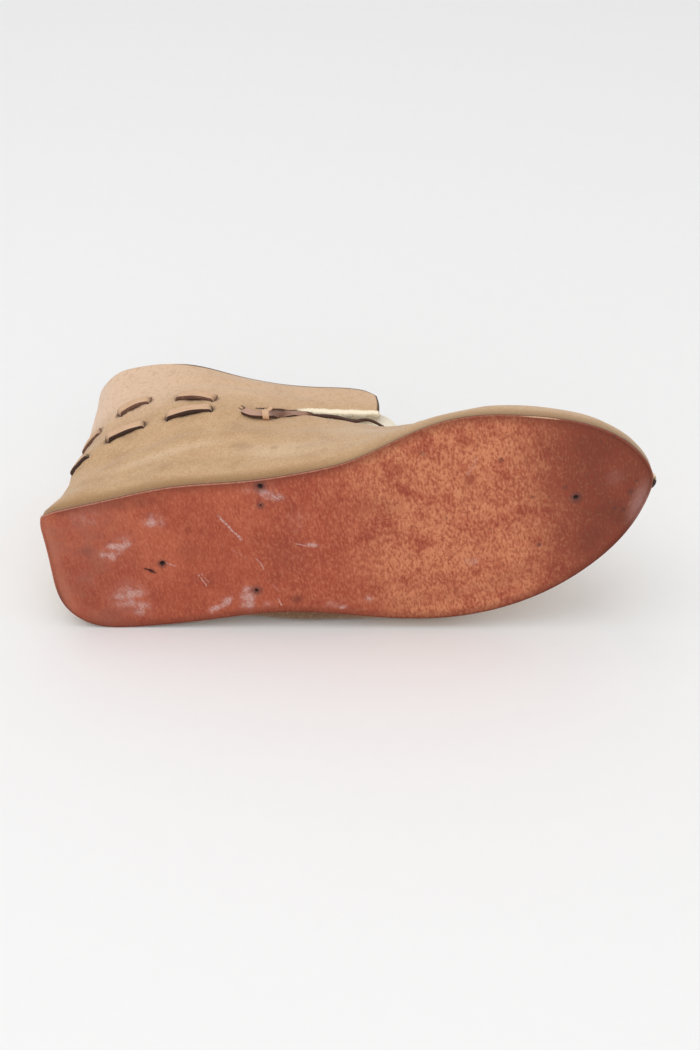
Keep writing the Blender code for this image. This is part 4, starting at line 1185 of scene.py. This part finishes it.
def sheet_solid(grid, thick):
    """Closed sheet from a grid of points, thickened to the underside, with a rounded rim."""
    rows, cols, _ = grid.shape
    normal = unit(np.cross(np.gradient(grid, axis=0), np.gradient(grid, axis=1))).reshape(-1, 3)
    top = grid.reshape(-1, 3)
    under = top - normal * thick
    count = rows * cols
    faces = []
    for i in range(rows - 1):
        for j in range(cols - 1):
            a = i * cols + j
            faces.append((a, a + cols, a + cols + 1, a + 1))
            faces.append((a + count, a + count + 1, a + count + cols + 1, a + count + cols))
    rim = list(range(cols)) + [i * cols + cols - 1 for i in range(1, rows)]
    rim += [(rows - 1) * cols + j for j in range(cols - 2, -1, -1)]
    rim += [i * cols for i in range(rows - 2, 0, -1)]
    ring = top[rim]
    beyond = unit(np.cross(np.roll(ring, -1, axis=0) - np.roll(ring, 1, axis=0), normal[rim]))
    middle = (ring + under[rim]) / 2
    if np.sum(beyond * (ring - top.mean(axis=0))) < 0:
        beyond = -beyond
    n = len(rim)
    for k in range(n):
        a, b, m, o = rim[k], rim[(k + 1) % n], 2 * count + k, 2 * count + (k + 1) % n
        faces += [(a, b, o, m), (m, o, b + count, a + count)]
    edge = np.zeros(2 * count + n)
    edge[2 * count:] = 1.0
    return np.concatenate([top, under, middle + beyond * thick * 0.25]), faces, edge


def flesh_finish(name, pale, dark):
    """Raw flesh side: matted fibres, pale on the raised ones."""
    made = Finish(name, specular=0.15, roughness=0.95, sheen_weight=0.3, sheen_roughness=0.5)
    at = made.attribute("shoe", "Vector")
    wander = made.noise(at, 2.5, out=1)
    fibres = made.noise(made.shift(made.stretch(at, 0.5, 0.5, 1.6), wander, 3.0), 0.8, 4.0, 0.75)
    clouds = made.noise(at, 6.0, 3.0, 0.6)
    colour = made.mix(pale, (dark, fibres.rise(0.42, 0.68) * (0.4 + 0.6 * clouds)))
    return made.done(colour, 0.85 + 0.15 * fibres, (clouds, 0.0006, 0.4), (fibres, 0.0003, 0.7))


tongue_verts, tongue_faces, tongue_edge = sheet_solid(tongue_grid(TONGUE_ROWS, TONGUE_CROSS), TONGUE_THICK)
raw_flesh = flesh_finish("raw_flesh", tint(252, 244, 226), tint(228, 208, 172))
tongue = piece("raw_tongue", tongue_verts, tongue_faces, raw_flesh, edge=tongue_edge)
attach(tongue, "root")
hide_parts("tongue")

# The thongs: two flat strips of thick leather, tan on the face and dark at the cut edges, woven
# through the slits round the ankle. Each shows as bars outside and runs inside the wall between them.
STRAP_SIDES = 16
THONG_PINCH = 0.08


def strap(path, rise, wide, thick, cup=0.0):
    """Flat strip with soft edges swept along a path, its width along rise; cup bends its edges down.

    Also gives each point's place on the strip: face or back, across it, and way along it.
    """
    along = unit(np.gradient(path, axis=0))
    rise = unit(rise - along * np.sum(rise * along, axis=1)[:, None])
    out = np.cross(rise, along)
    turn = np.linspace(0, 2 * math.pi, STRAP_SIDES, endpoint=False)
    across = -np.sign(np.cos(turn)) * np.abs(np.cos(turn))**0.3
    above = np.sign(np.sin(turn)) * np.abs(np.sin(turn))**0.3
    wide, thick = np.broadcast_to(wide, len(path)), np.broadcast_to(thick, len(path))
    verts = (path[:, None] + rise[:, None] * (across[None, :, None] * wide[:, None, None] / 2)
             + out[:, None] * (above[None] * thick[:, None] / 2 - cup * across[None]**2)[:, :, None])
    return verts.reshape(-1, 3), tube_faces(len(path), STRAP_SIDES), {
        "face": np.tile(above, len(path)), "across": np.tile(across, len(path)),
        "way": np.repeat(lengths(path), STRAP_SIDES)}


def thong_finish(name, light, dark, edge_light, edge_dark):
    """Thong leather: lighter worn face, dark fibrous cut edges, painted shade where the 'ends' value is
    high, lengthwise streaks.
    """
    made = Finish(name, roughness=0.75)
    across = made.attribute("across")
    lengthwise = made.node("ShaderNodeCombineXYZ", None, {0: made.attribute("way") * 0.14, 1: across * 2.2})
    streak = made.noise(lengthwise, 1.0, 3.0, 0.6)
    nap = made.noise(made.attribute("shoe", "Vector"), 0.7, 3.0, 0.7)
    fibrous = made.mix(edge_dark, (edge_light, nap.rise(0.5, 0.7) * 0.8))
    colour = made.mix(light, (dark, streak.rise(0.45, 0.75) * 0.5), (dark, nap.rise(0.5, 0.75) * 0.4),
                      (fibrous, made.attribute("face").rise(0.2, -0.5)),
                      (fibrous, abs(across).rise(0.9, 0.965)), (edge_dark, made.attribute("ends") * 0.8))
    return made.done(colour, 0.65 + 0.25 * nap, (streak, 0.0004, 0.5), (nap, 0.00015, 0.5))


face_tones = (tint(214, 176, 142), tint(180, 138, 102))
upper_row = thong_finish("thong_leather_upper", *face_tones, tint(172, 132, 112), tint(104, 72, 58))
thong_leather = thong_finish("thong_leather", *face_tones, tint(98, 66, 52), tint(58, 36, 28))
for name, node, look, (path, rise, thick, near_slit, _, _) in (
        ("thong_upper_row", "thong_upper", upper_row, row_paths[0]),
        ("thong_lower_row", "thong_lower", thong_leather, row_paths[1])):
    strip, strip_faces, on_strip = strap(path, rise, THONG_WIDTH * (1 - THONG_PINCH * near_slit), thick)
    # ends: painted shade where the bars dive into the slits
    thong = piece(name, strip, strip_faces, look, ends=np.repeat(near_slit, STRAP_SIDES), **on_strip)
    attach(thong, "root")
    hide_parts(node)

# The loose end: the upper thong comes out at the front slit, passes a hitch and a twist and
# lies flat and wavy in the gap under the medial flap. Thin brown leather strip, cut off bare; painted shade
# darkens most of its way.
THONG_END = (
    (94.5, -31.2, 65.0), (99.0, -30.9, 61.3), (104.0, -30.5, 60.1), (107.5, -29.6, 60.8),
    (110.5, -27.9, 62.8), (115.0, -25.4, 65.4), (122.0, -22.9, 66.9), (130.0, -20.2, 67.4),
    (138.0, -17.6, 67.9), (146.0, -15.2, 66.4), (151.2, -13.7, 69.6), (155.3, -13.2, 67.4),
    (158.6, -12.8, 64.4),
)
END_WIDTH = ((0.0, 3.9), (18.0, 3.6), (26.0, 2.6), (38.0, 2.1), (54.0, 2.1), (64.0, 1.4), (80.0, 1.1))
END_THICK = ((0.0, 1.8), (18.0, 1.7), (30.0, 1.1), (64.0, 0.9), (80.0, 0.8))
END_DROP = ((0.0, 1.0), (14.0, 1.2), (22.0, 0.6), (34.0, 0.0), (60.0, 0.0), (72.0, 1.2))
END_SHADE = ((0.0, 0.05), (13.5, 0.15), (15.0, 0.85), (22.0, 0.75), (27.0, 0.45), (33.0, 0.35), (40.0, 0.85))
END_TURNS = (
    # way along, turn of the strip in degrees
    (0.0, 10), (8.0, 5), (15.0, 5), (18.0, 50), (20.5, 80), (23.0, 40), (27.0, 20), (32.0, 60), (37.0, 150),
    (42.0, 182), (52.0, 172), (60.0, 188), (70.0, 176), (80.0, 180),
)
END_STATIONS = 150
END_CUP = 0.1
HITCH_AT = 12.2
HITCH_RING = (2.35, 1.6)
HITCH_LIFT = 0.4
HITCH_TAIL = 4.6
HITCH_SQUARE_TO = 18
HITCH_STATIONS = 70
HITCH_WIDTH = ((0, 3.1), (52, 3.0), (62, 1.4), (70, 1.0))
HITCH_THICK = 1.0
HITCH_EDGES = 0.92


def hitch_points(way, line):
    """One turn of thong round the loose end, then a short tail upward."""
    here, ahead = spline(way, line, [HITCH_AT, HITCH_AT + 1.0])
    along = unit(ahead - here)
    rise = unit(np.array([0.0, 0.0, 1.0]) - along * along[2])
    out = np.cross(rise, along)
    out *= -np.sign(out[1])
    turn = np.radians(20 + 20 * np.arange(19))[:, None]
    slide = along * ((np.arange(19) / 18 - 0.4) * 1.2)[:, None]
    ring = HITCH_RING[0] * rise * np.cos(turn) + HITCH_RING[1] * out * np.sin(turn)
    points = here + rise * HITCH_LIFT + slide + ring
    reach = (np.arange(1, 6) / 5)[:, None]
    curl = along * np.sin(reach * 2.2) * 0.55 + rise * reach * 0.55 + out * (0.3 * reach)
    return np.vstack([points, points[-1] + curl * HITCH_TAIL])


def on_table(table, at):
    """Values at places, from a table of places and values."""
    return np.interp(at, *np.array(table, float).T)


end_line = np.array(THONG_END)
end_way = lengths(end_line)
end_long = end_way[-1]
end_places = np.linspace(0, end_long, END_STATIONS)
end_path = spline(end_way, end_line, end_places)
end_path = end_path + on_table(END_DROP, end_places)[:, None] * (0.0, 0.7, -1.0)
end_along, end_side, end_up = upright(end_path)
end_turn = np.radians(on_table(END_TURNS, end_places))[:, None]
end_rise = end_up * np.cos(end_turn) + end_side * np.sin(end_turn)
dark_thong = thong_finish("dark_thong", tint(196, 156, 136), tint(150, 110, 92), tint(112, 72, 54),
                          tint(72, 44, 34))
strip, strip_faces, on_strip = strap(end_path, end_rise, on_table(END_WIDTH, end_places),
                                     on_table(END_THICK, end_places), END_CUP)
# ends: painted shade along the loose end, in the gap under the flap
on_strip.update(face=-on_strip["face"], ends=on_table(END_SHADE, on_strip["way"]))
loose = piece("loose_end", strip, strip_faces, dark_thong, **on_strip)
hitch_line = hitch_points(lengths(end_path), end_path)
hitch_way = lengths(hitch_line)
hitch_path = spline(hitch_way, hitch_line, np.linspace(0, hitch_way[-1], HITCH_STATIONS))
strip, strip_faces, on_strip = strap(hitch_path, np.tile(end_along[HITCH_SQUARE_TO], (HITCH_STATIONS, 1)),
                                     on_table(HITCH_WIDTH, np.arange(HITCH_STATIONS)), HITCH_THICK)
on_strip.update(face=np.ones(len(strip)), across=on_strip["across"] * HITCH_EDGES, ends=np.zeros(len(strip)))
hitch = piece("hitch_wrap", strip, strip_faces, thong_leather, **on_strip)
route = [tuple(float(c) for c in p) for p in (end_path[::5] @ LIE.T + REST) * MM]
for made, node in ((loose, "thong_end"), (hitch, "hitch")):
    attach(made, "root")
    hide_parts(node)

# The fuzz: loose fibres on the raw edges of the medial flap, the lateral flap and the tongue.
# Short curved hairs of the leather's own flesh, thickest along the medial flap's lower edge.
FUZZ_DENSITY = 9.0e6
FUZZ_LENGTH = 0.0011
FUZZ_THICK = 0.00006


def fuzz_tree():
    """Node tree that grows short bent hairs over a mesh's faces."""
    tree = bpy.data.node_groups.new("edge_fuzz", "GeometryNodeTree")
    for name, kind in (("Geometry", "Geometry"), ("Density", "Float"), ("Length", "Float"),
                       ("Thickness", "Float"), ("Seed", "Int"), ("Look", "Material")):
        tree.interface.new_socket(name, in_out="INPUT", socket_type="NodeSocket" + kind)
    tree.interface.new_socket("Geometry", in_out="OUTPUT", socket_type="NodeSocketGeometry")

    def node(kind, sockets=(), **settings):
        made = tree.nodes.new(kind)
        for name, value in settings.items():
            setattr(made, name, value)
        for name, value in dict(sockets).items():
            if isinstance(value, bpy.types.NodeSocket):
                tree.links.new(value, made.inputs[name])
            else:
                made.inputs[name].default_value = value
        return made
    given = node("NodeGroupInput").outputs
    spots = node("GeometryNodeDistributePointsOnFaces",
                 {"Mesh": given["Geometry"], "Density": given["Density"], "Seed": given["Seed"]})
    bend = node("GeometryNodeCurveQuadraticBezier",
                {"Resolution": 4, "Start": (0, 0, 0), "Middle": (0.05, 0, 0.6), "End": (0.5, 0, 0.9)})
    section = node("GeometryNodeCurvePrimitiveCircle", {"Resolution": 3, "Radius": given["Thickness"]})
    sized = node("GeometryNodeTransform", {"Geometry": bend.outputs[0]})
    as_vector = node("ShaderNodeCombineXYZ", {0: given["Length"], 1: given["Length"], 2: given["Length"]})
    tree.links.new(as_vector.outputs[0], sized.inputs["Scale"])
    hair = node("GeometryNodeCurveToMesh", {"Curve": sized.outputs[0], "Profile Curve": section.outputs[0]})
    stray = node("FunctionNodeRandomValue", {0: (-0.9, -0.9, -0.9), 1: (0.9, 0.9, 0.9), "Seed": 5},
                 data_type="FLOAT_VECTOR")
    way = node("ShaderNodeVectorMath", {0: spots.outputs["Normal"], 1: stray.outputs[0]}, operation="ADD")
    aim = node("FunctionNodeAlignRotationToVector", {"Vector": way.outputs[0]}, axis="Z")
    twirl = node("FunctionNodeRandomValue", {0: (0, 0, 0), 1: (0, 0, 6.28), "Seed": 6},
                 data_type="FLOAT_VECTOR")
    turned = node("FunctionNodeRotateRotation", {"Rotation": aim.outputs[0], "Rotate By": twirl.outputs[0]},
                  rotation_space="LOCAL")
    size = node("FunctionNodeRandomValue", {2: 0.4, 3: 1.5, "Seed": 7}, data_type="FLOAT")
    grown = node("GeometryNodeInstanceOnPoints",
                 {"Points": spots.outputs["Points"], "Instance": hair.outputs[0],
                  "Rotation": turned.outputs[0], "Scale": size.outputs[1]})
    real = node("GeometryNodeRealizeInstances", {"Geometry": grown.outputs[0]})
    dressed = node("GeometryNodeSetMaterial", {"Geometry": real.outputs[0], "Material": given["Look"]})
    node("NodeGroupOutput", {"Geometry": dressed.outputs[0]})
    return tree


def grown_piece(name, carrier, tree, **inputs):
    """The plain mesh that a node tree grows on a carrier, which is then dropped."""
    grow = carrier.modifiers.new("grow", "NODES")
    grow.node_group = tree
    for item in tree.interface.items_tree:
        if item.in_out == "INPUT" and item.name in inputs:
            grow[item.identifier] = inputs[item.name]
    shown = carrier.evaluated_get(bpy.context.evaluated_depsgraph_get())
    made = bpy.data.objects.new(name, bpy.data.meshes.new_from_object(shown))
    bpy.context.scene.collection.objects.link(made)
    carrier.modifiers.clear()
    bpy.data.objects.remove(carrier)
    keep_values(made.data, shoe_places(made.data))
    return made


def part_of(verts, faces, chosen):
    """The faces of a mesh whose points are all chosen."""
    kept = [f for f in faces if all(chosen[i] for i in f)]
    used = sorted({i for f in kept for i in f})
    place = {i: k for k, i in enumerate(used)}
    return verts[used], [tuple(place[i] for i in f) for f in kept]


raw_here = (face_raw[source] > 0.35) & (inside > 0.2) & (inside < 0.9)
fuzz = fuzz_tree()
tongue_rim = len(tongue_verts) - int(tongue_edge.sum())
near_rim = np.zeros(len(tongue_verts), bool)
for f in tongue_faces:
    if any(i >= tongue_rim for i in f):
        near_rim[list(f)] = True
for name, carried, density, seed in (
        ("flap_fuzz", part_of(verts, quads, raw_here), FUZZ_DENSITY, 3),
        ("tongue_fuzz", part_of(tongue_verts, tongue_faces, near_rim), FUZZ_DENSITY * 0.5, 4)):
    made = grown_piece(name, piece("fuzz_carrier", *carried, None), fuzz, Density=density,
                       Length=FUZZ_LENGTH, Thickness=FUZZ_THICK, Seed=seed, Look=raw_flesh)
    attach(made, "root")

# The studio: a pale floor under the lying shoe, soft light from above and from the camera's side.
# The camera keeps the photograph's angle, about 35 degrees up, with a slight roll.
FLOOR_SIZE = 6.0
CAMERA_AT = Vector((0.03095, -0.75665, 0.54234))
CAMERA_AXES = ((0.99944, 0.0275, -0.01897), (-0.00012, 0.57065, 0.82119), (0.03341, -0.82073, 0.57034))
LENS = 64.114

floor_mesh = bpy.data.meshes.new("floor")
half = FLOOR_SIZE / 2
corners = [(-half, -half, 0), (half, -half, 0), (half, half, 0), (-half, half, 0)]
floor_mesh.from_pydata(corners, [], [(0, 1, 2, 3)])
floor = bpy.data.objects.new("floor", floor_mesh)
bpy.context.scene.collection.objects.link(floor)
paper = Finish("pale_paper", roughness=0.9)
paper_at = paper.node("ShaderNodeTexCoord", out="Object")
paper.put(paper.shader.inputs["Base Color"],
          paper.mix(tint(243, 243, 243), (tint(241, 241, 241), paper.noise(paper_at, 0.01, 3.0))))
floor_mesh.materials.append(paper.look)

for name, place, size, power in (("high_soft_box", (-0.4, -0.3, 1.9), 2.0, 14.0),
                                 ("front_soft_box", (0.3, -1.7, 0.9), 1.6, 6.0)):
    lamp = bpy.data.lights.new(name, "AREA")
    lamp.shape = "SQUARE"
    lamp.size = size
    lamp.energy = power
    lit = bpy.data.objects.new(name, lamp)
    lit.location = place
    lit.rotation_euler = (Vector((0, 0, 0.05)) - Vector(place)).to_track_quat("-Z", "Y").to_euler()
    bpy.context.scene.collection.objects.link(lit)
sky = bpy.data.worlds.new("studio_white")
sky.use_nodes = True
sky.node_tree.nodes["Background"].inputs["Color"].default_value = (1, 1, 1, 1)
sky.node_tree.nodes["Background"].inputs["Strength"].default_value = 0.7
bpy.context.scene.world = sky
bpy.context.scene.view_settings.view_transform = "Standard"

eye = bpy.data.cameras.new("studio_camera")
eye.sensor_width = 36.0
eye.lens = LENS
camera = bpy.data.objects.new("studio_camera", eye)
bpy.context.scene.collection.objects.link(camera)
camera.location = CAMERA_AT
camera.rotation_mode = "QUATERNION"
camera.rotation_quaternion = Matrix(CAMERA_AXES).transposed().to_quaternion()
bpy.context.scene.camera = camera
